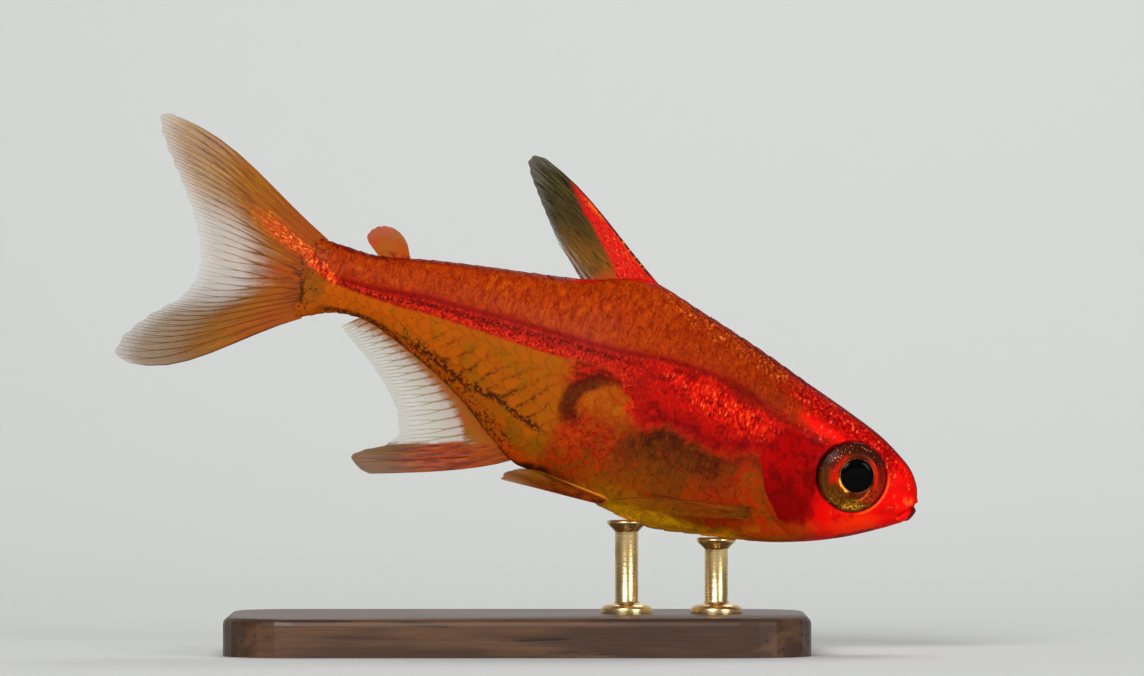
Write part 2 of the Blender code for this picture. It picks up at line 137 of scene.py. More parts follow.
def pale_paper():
    """Matt paper, clear when it is seen from its back, so that it hides nothing behind it."""
    material, tree, shader = new_material("pale_paper")
    shader.inputs["Base Color"].default_value = (*PAPER_COLOUR, 1)
    shader.inputs["Roughness"].default_value = PAPER_ROUGHNESS
    back = tree.nodes.new("ShaderNodeNewGeometry")
    clear = tree.nodes.new("ShaderNodeBsdfTransparent")
    either = tree.nodes.new("ShaderNodeMixShader")
    tree.links.new(back.outputs["Backfacing"], either.inputs["Fac"])
    tree.links.new(shader.outputs["BSDF"], either.inputs[1])
    tree.links.new(clear.outputs["BSDF"], either.inputs[2])
    tree.links.new(either.outputs["Shader"], tree.nodes["Material Output"].inputs["Surface"])
    return material


def add_air():
    """An even light from all sides, which the camera sees as pale as the floor."""
    world = bpy.data.worlds.new("studio_air")
    bpy.context.scene.world = world
    world.use_nodes = True
    air = world.node_tree.nodes["Background"]
    seen = world.node_tree.nodes.new("ShaderNodeLightPath")
    strength = world.node_tree.nodes.new("ShaderNodeMapRange")
    strength.inputs["To Min"].default_value = AIR_LIGHT
    strength.inputs["To Max"].default_value = AIR_SEEN
    world.node_tree.links.new(seen.outputs["Is Camera Ray"], strength.inputs["Value"])
    world.node_tree.links.new(strength.outputs["Result"], air.inputs["Strength"])
    air.inputs["Color"].default_value = (1, 1, 1, 1)


def add_floor():
    bpy.ops.mesh.primitive_plane_add(size=2 * FLOOR_HALF, location=(0, SWEEP_START - FLOOR_HALF, 0))
    floor = new_piece("studio_floor")
    settle(floor)
    bpy.ops.object.mode_set(mode="EDIT")
    bpy.ops.mesh.select_all(action="DESELECT")
    bpy.ops.object.mode_set(mode="OBJECT")
    for edge in floor.data.edges:
        edge.select = all(floor.data.vertices[v].co.y > SWEEP_START - MM for v in edge.vertices)
    bpy.ops.object.mode_set(mode="EDIT")
    bpy.ops.mesh.select_mode(type="EDGE")
    bpy.ops.mesh.spin(
        steps=24, angle=-math.pi / 2, center=(0, SWEEP_START, SWEEP_RADIUS), axis=(1, 0, 0)
    )
    bpy.ops.mesh.extrude_region_move(TRANSFORM_OT_translate={"value": (0, 0, 2 * FLOOR_HALF)})
    bpy.ops.object.mode_set(mode="OBJECT")
    bpy.ops.object.shade_smooth()
    floor.data.materials.append(pale_paper())


def add_lamp(place, size, power):
    bpy.ops.object.light_add(type="AREA", location=place)
    lamp = bpy.context.object
    lamp.rotation_euler = (Vector(LAMPS_AIM) - Vector(place)).to_track_quat("-Z", "Y").to_euler()
    lamp.data.shape = "DISK"
    lamp.data.size = size
    lamp.data.energy = power


clear_selection()
add_camera()
add_floor()
clear_selection()
for place, size, power in LAMPS:
    add_lamp(place, size, power)
add_air()
bpy.context.scene.view_settings.view_transform = "Standard"


# The display stand: a dark, satin-lacquered wooden base with rounded corners, and two short brass rods.
# Each rod is pressed into the base through a turned collar and ends in a small pad under the belly.
def sum_of(operation, turned_round=False):
    """A method of a field that works this sum, with the field first or, turned round, last."""

    def work(field, *others):
        node = field.tree.nodes.new("ShaderNodeMath")
        node.operation = operation
        values = (*others, field) if turned_round else (field, *others)
        for socket, value in zip(node.inputs, values):
            join(field.tree, value, socket)
        return Field(field.tree, node.outputs[0])

    return work


class Field:
    """A value that changes over a surface, as one socket of a tree. Sums are written as usual."""

    def __init__(self, tree, socket):
        self.tree, self.socket = tree, socket

    __add__, __radd__ = sum_of("ADD"), sum_of("ADD", True)
    __sub__, __rsub__ = sum_of("SUBTRACT"), sum_of("SUBTRACT", True)
    __mul__, __rmul__ = sum_of("MULTIPLY"), sum_of("MULTIPLY", True)
    __truediv__, __pow__, __abs__ = sum_of("DIVIDE"), sum_of("POWER"), sum_of("ABSOLUTE")
    sine, root = sum_of("SINE"), sum_of("SQRT")
    at_most, at_least = sum_of("MINIMUM"), sum_of("MAXIMUM")

    def ramp(self, low, high):
        """0 up to low, 1 from high on, and smooth between. With low above high it falls instead."""
        node = self.tree.nodes.new("ShaderNodeMapRange")
        node.interpolation_type = "SMOOTHSTEP"
        down = low > high
        set_sockets(self.tree, node, {
            "Value": self, "From Min": min(low, high), "From Max": max(low, high),
            "To Min": float(down), "To Max": float(not down),
        })
        return Field(self.tree, node.outputs["Result"])

    def along(self, points):
        """The height of the curve through (place, height) points, at this value."""
        places, heights = zip(*points)
        low, high = min(heights), max(heights) + 1e-6
        start, end = places[0], places[-1]
        node = self.tree.nodes.new("ShaderNodeFloatCurve")
        curve = node.mapping.curves[0]
        spots = [((p - start) / (end - start), (h - low) / (high - low)) for p, h in points]
        curve.points[0].location, curve.points[1].location = spots[0], spots[-1]
        for spot in spots[1:-1]:
            curve.points.new(*spot)
        node.mapping.update()
        share = (self - start) / (end - start)
        join(self.tree, share, node.inputs["Value"])
        return Field(self.tree, node.outputs[0]) * (high - low) + low


def join(tree, value, socket):
    if isinstance(value, Field):
        tree.links.new(value.socket, socket)
    elif isinstance(value, bpy.types.NodeSocket):
        tree.links.new(value, socket)
    elif isinstance(value, (tuple, list)) and len(value) == 3 and socket.type == "RGBA":
        socket.default_value = (*value, 1)
    else:
        socket.default_value = value


def set_sockets(tree, node, values):
    """Gives a node's inputs their numbers, colours or fields."""
    for word, value in values.items():
        join(tree, value, node.inputs[word])


def paint(under, colour, cover):
    """The colour laid over what is under it, as far as cover says."""
    tree = cover.tree
    node = tree.nodes.new("ShaderNodeMix")
    node.data_type = "RGBA"
    join(tree, cover, node.inputs["Factor"])
    join(tree, under, node.inputs[6])
    join(tree, colour, node.inputs[7])
    return Field(tree, node.outputs[2])


def layered(tone, *coats):
    """Coats of colour on a tone, from the lowest to the highest, each as its colour and its cover."""
    for colour, cover in coats:
        tone = paint(tone, colour, cover)
    return tone


def stretched(vector, scale=(1, 1, 1), turn=(0, 0, 0), shift=(0, 0, 0)):
    node = vector.tree.nodes.new("ShaderNodeMapping")
    set_sockets(vector.tree, node, {"Vector": vector, "Scale": scale, "Rotation": turn, "Location": shift})
    return Field(vector.tree, node.outputs[0])


def noise(vector, scale, detail=2.0, rough=0.5):
    node = vector.tree.nodes.new("ShaderNodeTexNoise")
    set_sockets(vector.tree, node, {"Vector": vector, "Scale": scale, "Detail": detail, "Roughness": rough})
    return Field(vector.tree, node.outputs["Fac"])


def cells(vector, scale, jitter=1.0):
    """The distance to the nearest of many scattered points, and a random value for each point's cell."""
    tree = vector.tree
    node = tree.nodes.new("ShaderNodeTexVoronoi")
    set_sockets(tree, node, {"Vector": vector, "Scale": scale, "Randomness": jitter})
    split = tree.nodes.new("ShaderNodeSeparateColor")
    tree.links.new(node.outputs["Color"], split.inputs[0])
    return Field(tree, node.outputs["Distance"]), Field(tree, split.outputs["Red"])


def bumped(tree, height, depth):
    node = tree.nodes.new("ShaderNodeBump")
    set_sockets(tree, node, {"Strength": 1.0, "Distance": depth, "Height": height})
    return node.outputs["Normal"]


def object_place(tree):
    return Field(tree, tree.nodes.new("ShaderNodeTexCoord").outputs["Object"])


def wood():
    material, tree, shader = new_material("stand_walnut")
    place = object_place(tree)
    wander = noise(stretched(place, (90, 700, 700)), 1.0, 3)
    lines = noise(stretched(place, (260, 5200, 5200)), 1.0, 4, 0.65)
    rings = ((wander * 26.0).sine() * 0.5 + 0.5) ** 1.6
    tone = paint((0.035, 0.014, 0.006), (0.115, 0.05, 0.02), rings * 0.65 + lines * 0.35)
    set_sockets(tree, shader, {
        "Base Color": paint(tone, (0.012, 0.005, 0.003), lines.ramp(0.42, 0.3)),
        "Roughness": 0.42 + lines * 0.16, "Specular IOR Level": 0.3,
        "Coat Weight": 0.12, "Coat Roughness": 0.3, "Normal": bumped(tree, lines + rings * 0.3, 0.02 * MM),
    })
    return material


def brass():
    material, tree, shader = new_material("stand_brass")
    place = object_place(tree)
    lathed = noise(stretched(place, (300, 300, 9000)), 1.0, 3, 0.7)
    tarnish = noise(place, 900, 3)
    set_sockets(tree, shader, {
        "Base Color": paint((0.78, 0.56, 0.26), (0.42, 0.27, 0.1), tarnish.ramp(0.5, 0.75) * 0.6),
        "Roughness": 0.18 + lathed * 0.18 + tarnish.ramp(0.5, 0.8) * 0.15,
        "Metallic": 1.0, "Normal": bumped(tree, lathed, 0.012 * MM),
    })
    return material


def give_material(piece, material):
    piece.data.materials.clear()
    piece.data.materials.append(material)


ROD_RADIUS, ROD_SIDES, ROD_SUNK = 0.36, 64, 0.1
COLLAR_RADIUS, COLLAR_HEIGHT, COLLAR_TAPER = 0.8, 0.28, 0.14
PAD_RADIUS, PAD_HEIGHT = 0.62, 0.16
PAD_LIFT = 0.3  # how far the pads stand above the solid rods
EASED_EDGE = 0.03
brass_finish = brass()


def turned(name, rings, sides):
    """A closed turned body: a round plate drawn up ring by ring, each a height and a radius."""
    clear_selection()
    bpy.ops.mesh.primitive_circle_add(vertices=sides, radius=rings[0][1] * MM, fill_type="NGON")
    piece = new_piece(name)
    bpy.ops.object.mode_set(mode="EDIT")
    bpy.ops.mesh.select_all(action="SELECT")
    foot = rings[0][0]
    for (low, wide), (height, narrow) in zip(rings, rings[1:]):
        bpy.ops.mesh.extrude_region_move(TRANSFORM_OT_translate={"value": (0, 0, (height - low) * MM)})
        share = narrow / wide
        bpy.ops.transform.resize(value=(share, share, 1), center_override=(0, 0, (height - foot) * MM))
    bpy.ops.mesh.select_all(action="SELECT")
    bpy.ops.mesh.normals_make_consistent(inside=False)
    bpy.ops.object.mode_set(mode="OBJECT")
    piece.data.transform(Matrix.Translation((0, 0, foot * MM)))
    return piece


def make_rod(word):
    """A turned rod, one profile from foot to pad, pushed through the top of the base."""
    low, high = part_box(f"stand_rod_{word}")
    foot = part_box("stand_base")[1].z / MM
    top = high.z / MM + PAD_LIFT
    shoulder = foot + COLLAR_HEIGHT
    rings = [
        (foot - ROD_SUNK, COLLAR_RADIUS), (foot + COLLAR_HEIGHT * 0.6, COLLAR_RADIUS),
        (shoulder, COLLAR_RADIUS - COLLAR_TAPER), (shoulder + 0.03, ROD_RADIUS + 0.05),
        (shoulder + 0.12, ROD_RADIUS), (top - PAD_HEIGHT - 0.2, ROD_RADIUS),
        (top - PAD_HEIGHT, PAD_RADIUS - 0.06), (top - PAD_HEIGHT * 0.5, PAD_RADIUS),
        (top, PAD_RADIUS - 0.05),
    ]
    rod = turned(f"rod_{word}", rings, ROD_SIDES)
    rod.data.transform(Matrix.Translation(((low.x + high.x) / 2, (low.y + high.y) / 2, 0)))
    bevel = rod.modifiers.new("eased_edges", "BEVEL")
    bevel.width, bevel.segments, bevel.limit_method = EASED_EDGE * MM, 2, "ANGLE"
    apply_modifiers(rod)
    bpy.ops.object.shade_smooth_by_angle(angle=math.radians(35))
    give_material(rod, brass_finish)
    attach(rod, "root")
    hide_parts(f"stand_rod_{word}")


give_material(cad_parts["stand_base"], wood())
make_rod("front")
make_rod("rear")


# The skin: one closed skin from the snout to the tail fin's root, with the gill cover, the mouth, the
# lips, the nostrils and the eye sockets raised and sunk in it. It is thin and wet over bright flesh.
BACK = (
    (-0.14, -0.72), (-0.07, -0.15), (0.11, 0.22), (0.42, 0.57), (0.85, 0.85), (1.63, 1.24), (2.74, 1.61),
    (4.19, 2.03), (6.37, 2.66), (8.15, 3.1), (9.84, 3.46), (11.9, 2.84), (14.4, 2.33), (16.55, 1.88),
    (17.75, 1.56), (18.4, 1.45), (19.7, 1.43), (20.5, 1.6),
)
BELLY = (
    (-0.14, -0.82), (-0.07, -0.96), (0.17, -1.14), (0.69, -1.51), (1.77, -2.17), (2.9, -2.69),
    (4.08, -3.09), (5.9, -3.49), (7.75, -3.8), (9.1, -3.66), (10.5, -3.38), (12.0, -3.26), (13.0, -2.74),
    (14.3, -1.9), (15.5, -1.33), (17.0, -0.78), (18.0, -0.54), (18.7, -0.62), (19.7, -1.08), (20.5, -1.5),
)
HALF_WIDTH = (
    (-0.14, 0.14), (-0.07, 0.3), (0.11, 0.46), (0.42, 0.62), (0.85, 0.8), (1.63, 1.06), (2.74, 1.3),
    (4.19, 1.46), (5.9, 1.52), (7.75, 1.5), (9.84, 1.36), (12.0, 1.08), (14.4, 0.78), (16.55, 0.57),
    (18.4, 0.43), (19.7, 0.3), (20.5, 0.1),
)
WIDEST_LINE = (
    (-0.14, -0.77), (0.42, -0.45), (1.63, -0.42), (4.19, -0.35), (7.75, -0.2), (12.0, 0.1), (14.4, 0.3),
    (18.4, 0.44), (19.7, 0.3), (20.5, 0.05),
)
BACK_NARROWING = ((0.0, 0.8), (3.0, 0.85), (7.0, 1.0), (10.0, 1.1), (19.7, 1.0))
BELLY_NARROWING = ((0.0, 0.9), (3.0, 0.85), (7.0, 0.8), (10.5, 1.0), (13.0, 1.3), (16.0, 1.3), (19.7, 1.0))
GILL_EDGE = (
    (-90, 2.8), (-60, 3.35), (-42, 4.0), (-31, 4.42), (-19, 4.7), (0, 4.8), (15, 4.62), (45, 4.2),
    (90, 3.7),
)
SKIN_START, SKIN_END = -0.14, 20.1
GIRTH_POINTS, SKIN_RINGS = 144, 340
HEAD_SHARE = 0.5  # the part of the rings that the head has
HEAD_LENGTH = 5.2
EYE_RADIUS = 1.1
SCALE_DEPTH = 0.035


def smooth_line(stations):
    """The smooth curve through (place, value) stations, with no overshoot, as a function of places."""
    places, values = np.array(stations, float).T
    rise = np.diff(values) / np.diff(places)
    slope = np.concatenate([rise[:1], np.zeros(len(rise) - 1), rise[-1:]])
    both = rise[:-1] * rise[1:]
    total = np.where(both > 0, rise[:-1] + rise[1:], 1.0)
    slope[1:-1] = np.where(both > 0, 2 * both / total, 0.0)

    def at(place):
        place = np.clip(place, places[0], places[-1])
        i = np.clip(np.searchsorted(places, place, "right") - 1, 0, len(rise) - 1)
        width = places[i + 1] - places[i]
        t = (place - places[i]) / width
        return (
            (2 * t**3 - 3 * t**2 + 1) * values[i]
            + (t**3 - 2 * t**2 + t) * width * slope[i]
            + (3 * t**2 - 2 * t**3) * values[i + 1]
            + (t**3 - t**2) * width * slope[i + 1]
        )

    return at


back_line, belly_line = smooth_line(BACK), smooth_line(BELLY)
half_width, widest_line = smooth_line(HALF_WIDTH), smooth_line(WIDEST_LINE)
back_narrowing, belly_narrowing = smooth_line(BACK_NARROWING), smooth_line(BELLY_NARROWING)
gill_line = smooth_line(GILL_EDGE)


def half_section(s, above):
    """The widest line's level, the reach from it to the back or the belly, and how the side narrows."""
    level = widest_line(s)
    reach = np.where(above, back_line(s) - level, level - belly_line(s))
    return level, reach, np.where(above, back_narrowing(s), belly_narrowing(s))


def hull(s, angle):
    """Points of the skin. The angle is 90 at the back, 0 at the widest line and -90 at the belly."""
    sine, cosine = np.sin(np.radians(angle)), np.cos(np.radians(angle))
    level, reach, narrowing = half_section(s, sine > 0)
    out = half_width(s) * np.abs(cosine) ** narrowing * np.sign(cosine)
    return np.stack([-s, out, level + reach * sine], axis=-1)


def flank(s, h):
    """How far the body's side stands out from the middle at height h."""
    level, reach, narrowing = half_section(s, h > widest_line(s))
    sine = np.minimum(1.0, np.abs(h - level) / reach)
    return half_width(s) * (1 - sine**2) ** (narrowing / 2)


def step(value, low, high):
    share = np.clip((value - low) / (high - low), 0, 1)
    return share * share * (3 - 2 * share)


def bell(value, width):
    return np.exp(-((value / width) ** 2))


def read_points(piece):
    points = np.empty(len(piece.data.vertices) * 3)
    piece.data.vertices.foreach_get("co", points)
    return points.reshape(-1, 3)


def move_points(piece, points):
    piece.data.vertices.foreach_set("co", np.asarray(points, float).ravel())
    piece.data.update()


def read_normals(piece):
    normals = np.empty(len(piece.data.vertices) * 3)
    piece.data.vertex_normals.foreach_get("vector", normals)
    return normals.reshape(-1, 3)


def beside_line(s, h, start, end):
    """The distance from a straight line in side view, and the share along it."""
    start, end = np.array(start), np.array(end)
    way = end - start
    share = ((s - start[0]) * way[0] + (h - start[1]) * way[1]) / (way @ way)
    held = np.clip(share, 0, 1)
    gap_s, gap_h = s - start[0] - held * way[0], h - start[1] - held * way[1]
    side = np.sign((s - start[0]) * way[1] - (h - start[1]) * way[0])
    return np.hypot(gap_s, gap_h) * side, share


MOUTH_FRONT, MOUTH_CORNER = (-0.1, -0.47), (0.33, -1.0)
NOSTRILS = ((0.62, 0.4, 0.07), (0.8, 0.48, 0.085))
GILL_STEP = 0.05
CHEEK_GROOVE = ((3.3, 0.6), (3.75, -0.3), (3.7, -1.2), (3.2, -1.9), (2.4, -2.15))


def head_relief(points):
    """How far each point of the skin is raised, in millimetres."""
    s, out, h = -points[:, 0], np.abs(points[:, 1]), points[:, 2]
    raised = np.zeros(len(s))
    level, reach, _ = half_section(s, h > widest_line(s))
    angle = np.degrees(np.arctan2(h - level, out + 1e-9))
    past_gill = s - gill_line(np.degrees(np.arcsin(np.clip((h - level) / reach, -1, 1))))
    on_head = step(angle, 15, -30) * step(angle, -80, -58)
    raised += GILL_STEP * step(past_gill, -1.2, -0.1) * step(past_gill, 0.06, -0.07) * on_head
    raised -= 0.02 * bell(past_gill - 0.09, 0.08) * on_head
    mouth, share = beside_line(s, h, MOUTH_FRONT, MOUTH_CORNER)
    near = step(share, 1.15, 0.9)
    raised -= 0.14 * bell(mouth, 0.045) * near
    raised += 0.055 * (bell(mouth - 0.13, 0.075) + bell(mouth + 0.13, 0.075)) * near
    raised -= 0.03 * bell(mouth - 0.27, 0.05) * near * step(s, -0.02, 0.1)
    for at_s, at_h, size in NOSTRILS:
        gap = np.hypot(s - at_s, h - at_h)
        raised += 0.03 * bell(gap - size * 1.25, size * 0.45) - 0.1 * step(gap, size * 1.05, size * 0.6)
    for (s1, h1), (s2, h2) in zip(CHEEK_GROOVE, CHEEK_GROOVE[1:]):
        gap, share = beside_line(s, h, (s1, h1), (s2, h2))
        raised -= 0.022 * bell(gap, 0.06) * step(share, -0.1, 0.1) * step(share, 1.1, 0.9)
    eye = np.hypot(s - EYE_PLACE[0], h - EYE_PLACE[1])
    raised += 0.03 * bell(eye - EYE_RADIUS - 0.06, 0.07)
    raised -= 0.55 * step(eye, EYE_RADIUS + 0.02, EYE_RADIUS - 0.1)
    return raised


def make_skin():
    clear_selection()
    bpy.ops.mesh.primitive_uv_sphere_add(segments=GIRTH_POINTS, ring_count=SKIN_RINGS, radius=1)
    skin = new_piece("skin")
    ball = read_points(skin)
    share = np.arccos(np.clip(ball[:, 2], -1, 1)) / math.pi
    head = HEAD_LENGTH * np.clip(share / HEAD_SHARE, 0, 1) ** 1.35
    rest = (SKIN_END - HEAD_LENGTH) * np.clip((share - HEAD_SHARE) / (1 - HEAD_SHARE), 0, 1)
    s = SKIN_START + head + rest * (1 - SKIN_START / (SKIN_END - HEAD_LENGTH))
    s = np.minimum(s, SKIN_END)
    angle = np.degrees(np.arctan2(ball[:, 1], -ball[:, 0]))
    points = hull(s, angle)
    pole = np.hypot(ball[:, 0], ball[:, 1]) < 1e-6
    points[pole, 1] = 0
    points[pole, 2] = widest_line(s[pole])
    move_points(skin, points)
    face_outwards(skin)
    normals = read_normals(skin)
    scaled = step(s, HEAD_LENGTH - 1.2, HEAD_LENGTH)
    raised = head_relief(points) - 0.01 - SCALE_DEPTH * scaled
    move_points(skin, points + normals * raised[:, None])
    skin.data.transform(to_row)
    skin.data.update()
    bpy.ops.object.shade_smooth()
    return skin


# The markings of skin and scales: an orange-brown back, a dark line over a bright red band along the
# side, a glittering red shoulder, an amber flank that shows dark seams, and a vivid red head.
DARK_LINE = (
    (0, 0.6), (3.6, 0.7), (5.3, 0.98), (5.9, 1.18), (6.5, 1.32), (7.3, 1.42), (8.5, 1.39), (9.4, 1.27),
    (10.4, 1.15), (11.7, 1.08), (13.5, 1.0), (15.3, 0.87), (16.3, 0.81), (17.1, 0.68), (19.4, 0.5),
    (20.4, 0.9),
)
BAND_LOW = (
    (0, -0.6), (4.5, -0.45), (5.3, -0.5), (6.4, -0.8), (7.0, -0.68), (7.6, -0.56), (8.0, -0.48),
    (8.6, -0.8), (9.1, -0.55), (9.6, 0.1), (10.3, 0.45), (11.3, 0.42), (12.0, 0.33), (14.5, 0.3),
    (16.3, 0.26), (17.0, 0.2), (19.4, 0.25), (20.4, 0.7),
)
BASE_LINE = (
    (10.9, -2.9), (11.2, -3.15), (11.6, -3.3), (12.1, -3.22), (12.6, -3.0), (13.2, -2.64), (13.8, -2.2),
    (14.4, -1.88), (15.0, -1.56), (15.9, -1.2), (16.5, -0.92), (16.9, -0.7), (17.4, -0.54), (18.4, -0.49),
    (19.4, -0.7), (20, -0.95),
)
CHAMBER_LINE = (
    (11, -2.2), (11.5, -2.07), (12.3, -1.86), (12.8, -1.7), (13.2, -1.55), (13.6, -1.51), (14.1, -1.4),
    (14.8, -1.24), (15.6, -0.95), (16.6, -0.72), (17.4, -0.54), (20, -0.5),
)
GUT_TOP = (
    (4.4, -0.5), (5.3, -0.5), (6.4, -0.8), (7.0, -0.66), (7.6, -0.55), (8.0, -0.46), (8.7, -0.95),
    (9.3, -1.5), (10, -2.2),
)
GILL_REAR = (
    (-3.0, 2.6), (-2.45, 3.3), (-2.18, 3.85), (-1.83, 4.2), (-1.38, 4.58), (-0.95, 4.76), (-0.54, 4.95),
    (0.0, 4.8), (0.58, 4.51), (2.2, 3.6),
)
BACK_HEIGHTS = tuple((s, h) for s, h in BACK if s > 0)
BELLY_HEIGHTS = tuple((s, h) for s, h in BELLY if s > 0)


def new_group(name, outputs):
    tree = bpy.data.node_groups.new(name, "ShaderNodeTree")
    for word, kind in outputs:
        tree.interface.new_socket(word, in_out="OUTPUT", socket_type=f"NodeSocket{kind}")
    return tree, tree.nodes.new("NodeGroupOutput")


def in_millimetres(tree, turn=(0, 0, 0), shift=(0, 0, 0)):
    return stretched(object_place(tree), (1 / MM,) * 3, turn, shift)


def fish_place(tree):
    """Places in the fish's own frame, as a vector, as s behind the snout and as h above the long axis."""
    vector = in_millimetres(tree, (0, -PITCH, 0), -(Matrix.Rotation(-PITCH, 3, "Y") @ snout))
    split = tree.nodes.new("ShaderNodeSeparateXYZ")
    join(tree, vector, split.inputs[0])
    return vector, Field(tree, split.outputs["X"]) * -1.0, Field(tree, split.outputs["Z"])


def oval(s, h, middle, radii, turn=0.0):
    """0 in the middle of an oval in side view, 1 on its edge."""
    ds, dh = s - middle[0], h - middle[1]
    c, n = math.cos(math.radians(turn)), math.sin(math.radians(turn))
    along, up = (ds * c + dh * n) / radii[0], (dh * c - ds * n) / radii[1]
    return (along * along + up * up).root()


def markings():
    tree, out = new_group("fish_markings", (("Color", "Color"), ("Glitter", "Float")))
    vector, s, h = fish_place(tree)
    cloud = noise(vector, 1.3, 3)
    patchy = noise(vector, 3.2, 3, 0.55)
    fine = noise(vector, 7.0, 3, 0.6)
    grain = noise(vector, 15.0, 2, 0.6)
    # The same noises about zero: they make an edge ragged.
    haze, drift, wisp, grit = cloud - 0.5, patchy - 0.5, fine - 0.5, grain - 0.5
    ragged = wisp * 0.3 + haze * 0.35
    upright = noise(stretched(vector, (13, 5, 3.4)), 1.0, 3, 0.7)
    dot_gap, dot_pick = cells(vector, 6.5)
    flake_gap, flake = cells(stretched(vector, (11, 8, 4.4)), 1.0)
    under_back = s.along(BACK_HEIGHTS) - h
    over_belly = h - s.along(BELLY_HEIGHTS)
    loose_s = s + drift * 0.9 + wisp * 0.4
    loose_h = h + (noise(stretched(vector, shift=(9, 4, 7)), 3.2, 4, 0.6) - 0.5) * 0.9
    frayed = (drift * 0.7 + wisp * 0.9) * s.ramp(11.2, 9.8)
    line, low = s.along(DARK_LINE), (s + frayed).along(BAND_LOW)
    line = line + ((loose_h - h) * 0.5 + wisp * 0.3) * s.ramp(8.2, 6.6)
    loose_low = (low - h + (loose_h - h) * 0.6 + wisp * 0.35).ramp(-0.25, 0.3)
    to_front = s.ramp(10.2, 8.8)
    below_band = loose_low * to_front + (low - h + wisp * 0.1).ramp(-0.05, 0.07) * (1.0 - to_front)
    above_band = (h - line).ramp(-0.04, 0.06)

    # The back: orange-brown with fine upright streaks, a dark red ridge and gold flecks beside it.
    bars = noise(stretched(vector, (5.5, 3, 1.7), (0, 0.25, 0)), 1.0, 3, 0.65)
    ridge = (under_back + wisp * 0.12).ramp(0.2, 0.06)
    bit = flake_gap.ramp(0.5, 0.25)
    slant = noise(stretched(vector, (13, 8, 6), (0, 0.6, 0)), 1.0, 3, 0.75) + drift * 0.5
    nape = (
        (under_back + wisp * 0.3).ramp(0.75, 0.3) * under_back.ramp(0.05, 0.14) * s.ramp(9.9, 9.0)
        * s.ramp(3.6, 4.6)
    )
    gilt = nape * slant.ramp(0.63, 0.7)
    tone = layered(
        (0.37, 0.034, 0.001),
        ((0.26, 0.019, 0.001), (s + cloud * 2.0).ramp(10.5, 5.0)),
        ((0.5, 0.075, 0.001), (patchy * 0.7 + cloud * 0.4).ramp(0.55, 0.72) * s.ramp(6.0, 12.0) * 0.75),
        ((0.25, 0.012, 0.001), (patchy * 0.6 + fine * 0.5).ramp(0.5, 0.4) * 0.6),
        ((0.22, 0.008, 0.001), bars.ramp(0.5, 0.36) * 0.6),
        ((0.21, 0.01, 0.001), upright.ramp(0.5, 0.36) * 0.7),
        ((0.54, 0.065, 0.001), upright.ramp(0.54, 0.66) * 0.5),
        ((0.16, 0.006, 0.001), grain.ramp(0.42, 0.32) * 0.6),
        ((0.5, 0.01, 0.001),
         patchy.ramp(0.62, 0.75) * under_back.ramp(0.75, 0.3) * s.ramp(13.0, 11.5) * 0.6),
        ((0.11, 0.004, 0.001), ridge * (0.65 + s.ramp(17.0, 18.5) * 0.25)),
        ((0.62, 0.008, 0.001),
         ridge * s.ramp(9.3, 9.8) * s.ramp(12.4, 11.9) * (patchy + fine * 0.4).ramp(0.5, 0.72) * 0.9),
        ((0.62, 0.02, 0.004),
         ridge * bit * flake.ramp(0.5, 0.7) * (s.ramp(16.5, 17.5) + s.ramp(12.5, 11.5)).at_most(1.0) * 0.8),
        ((0.13, 0.006, 0.001), nape * (slant - drift * 0.8).ramp(0.44, 0.36) * 0.7),
        ((0.68, 0.09, 0.006), nape * slant.ramp(0.54, 0.62) * 0.85),
        ((0.95, 0.42, 0.08), gilt * 0.9),
    )

    # The rear flank: amber and olive, with slanting seams between its muscles.
    chamber_line = s.along(CHAMBER_LINE)
    seam = ((s * 0.9 + h * 0.85 + wisp * 0.3 + haze * 0.5) * 11.5).sine()
    seams = (
        seam.ramp(0.1, 0.98) * s.ramp(11.0, 11.8) * s.ramp(16.5, 15.0) * (h - chamber_line).ramp(0.0, 0.15)
    )
    thread = (
        seam.ramp(0.8, 1.0) * seams * (patchy + fine * 0.6).ramp(0.72, 0.9)
        * (chamber_line - h).ramp(-1.1, -0.5)
    )
    under_gap, under_pick = cells(stretched(vector, (8.5, 5, 6.5), (0, 0.7, 0)), 1.0, 0.7)
    chamber, base = chamber_line - h, h - s.along(BASE_LINE)
    flank_tone = layered(
        (0.36, 0.075, 0.001),
        ((0.44, 0.075, 0.001), (s + cloud * 3.0).ramp(15.0, 18.0)),
        ((0.26, 0.085, 0.001), (patchy * 0.7 + cloud * 0.6).ramp(0.62, 0.8) * 0.8),
        ((0.15, 0.035, 0.001),
         seams * (fine + patchy * 0.5).ramp(0.6, 0.85) * (low - h).ramp(0.25, 0.7) * 0.6),
        ((0.1, 0.006, 0.001), thread * 0.8),
        ((0.56, 0.05, 0.001), (over_belly + drift * 0.8).ramp(0.9, 0.4) * s.ramp(13.5, 12.0) * 0.8),
        ((0.2, 0.07, 0.001), chamber.ramp(0.1, 0.3) * base.ramp(0.2, 0.5) * cloud.ramp(0.4, 0.55) * 0.7),
        ((0.5, 0.06, 0.004),
         base.ramp(0.55, 0.1) * chamber.ramp(-0.1, 0.1) * under_pick.ramp(0.3, 0.6) * 0.5),
    )
    tone = paint(tone, flank_tone, below_band)

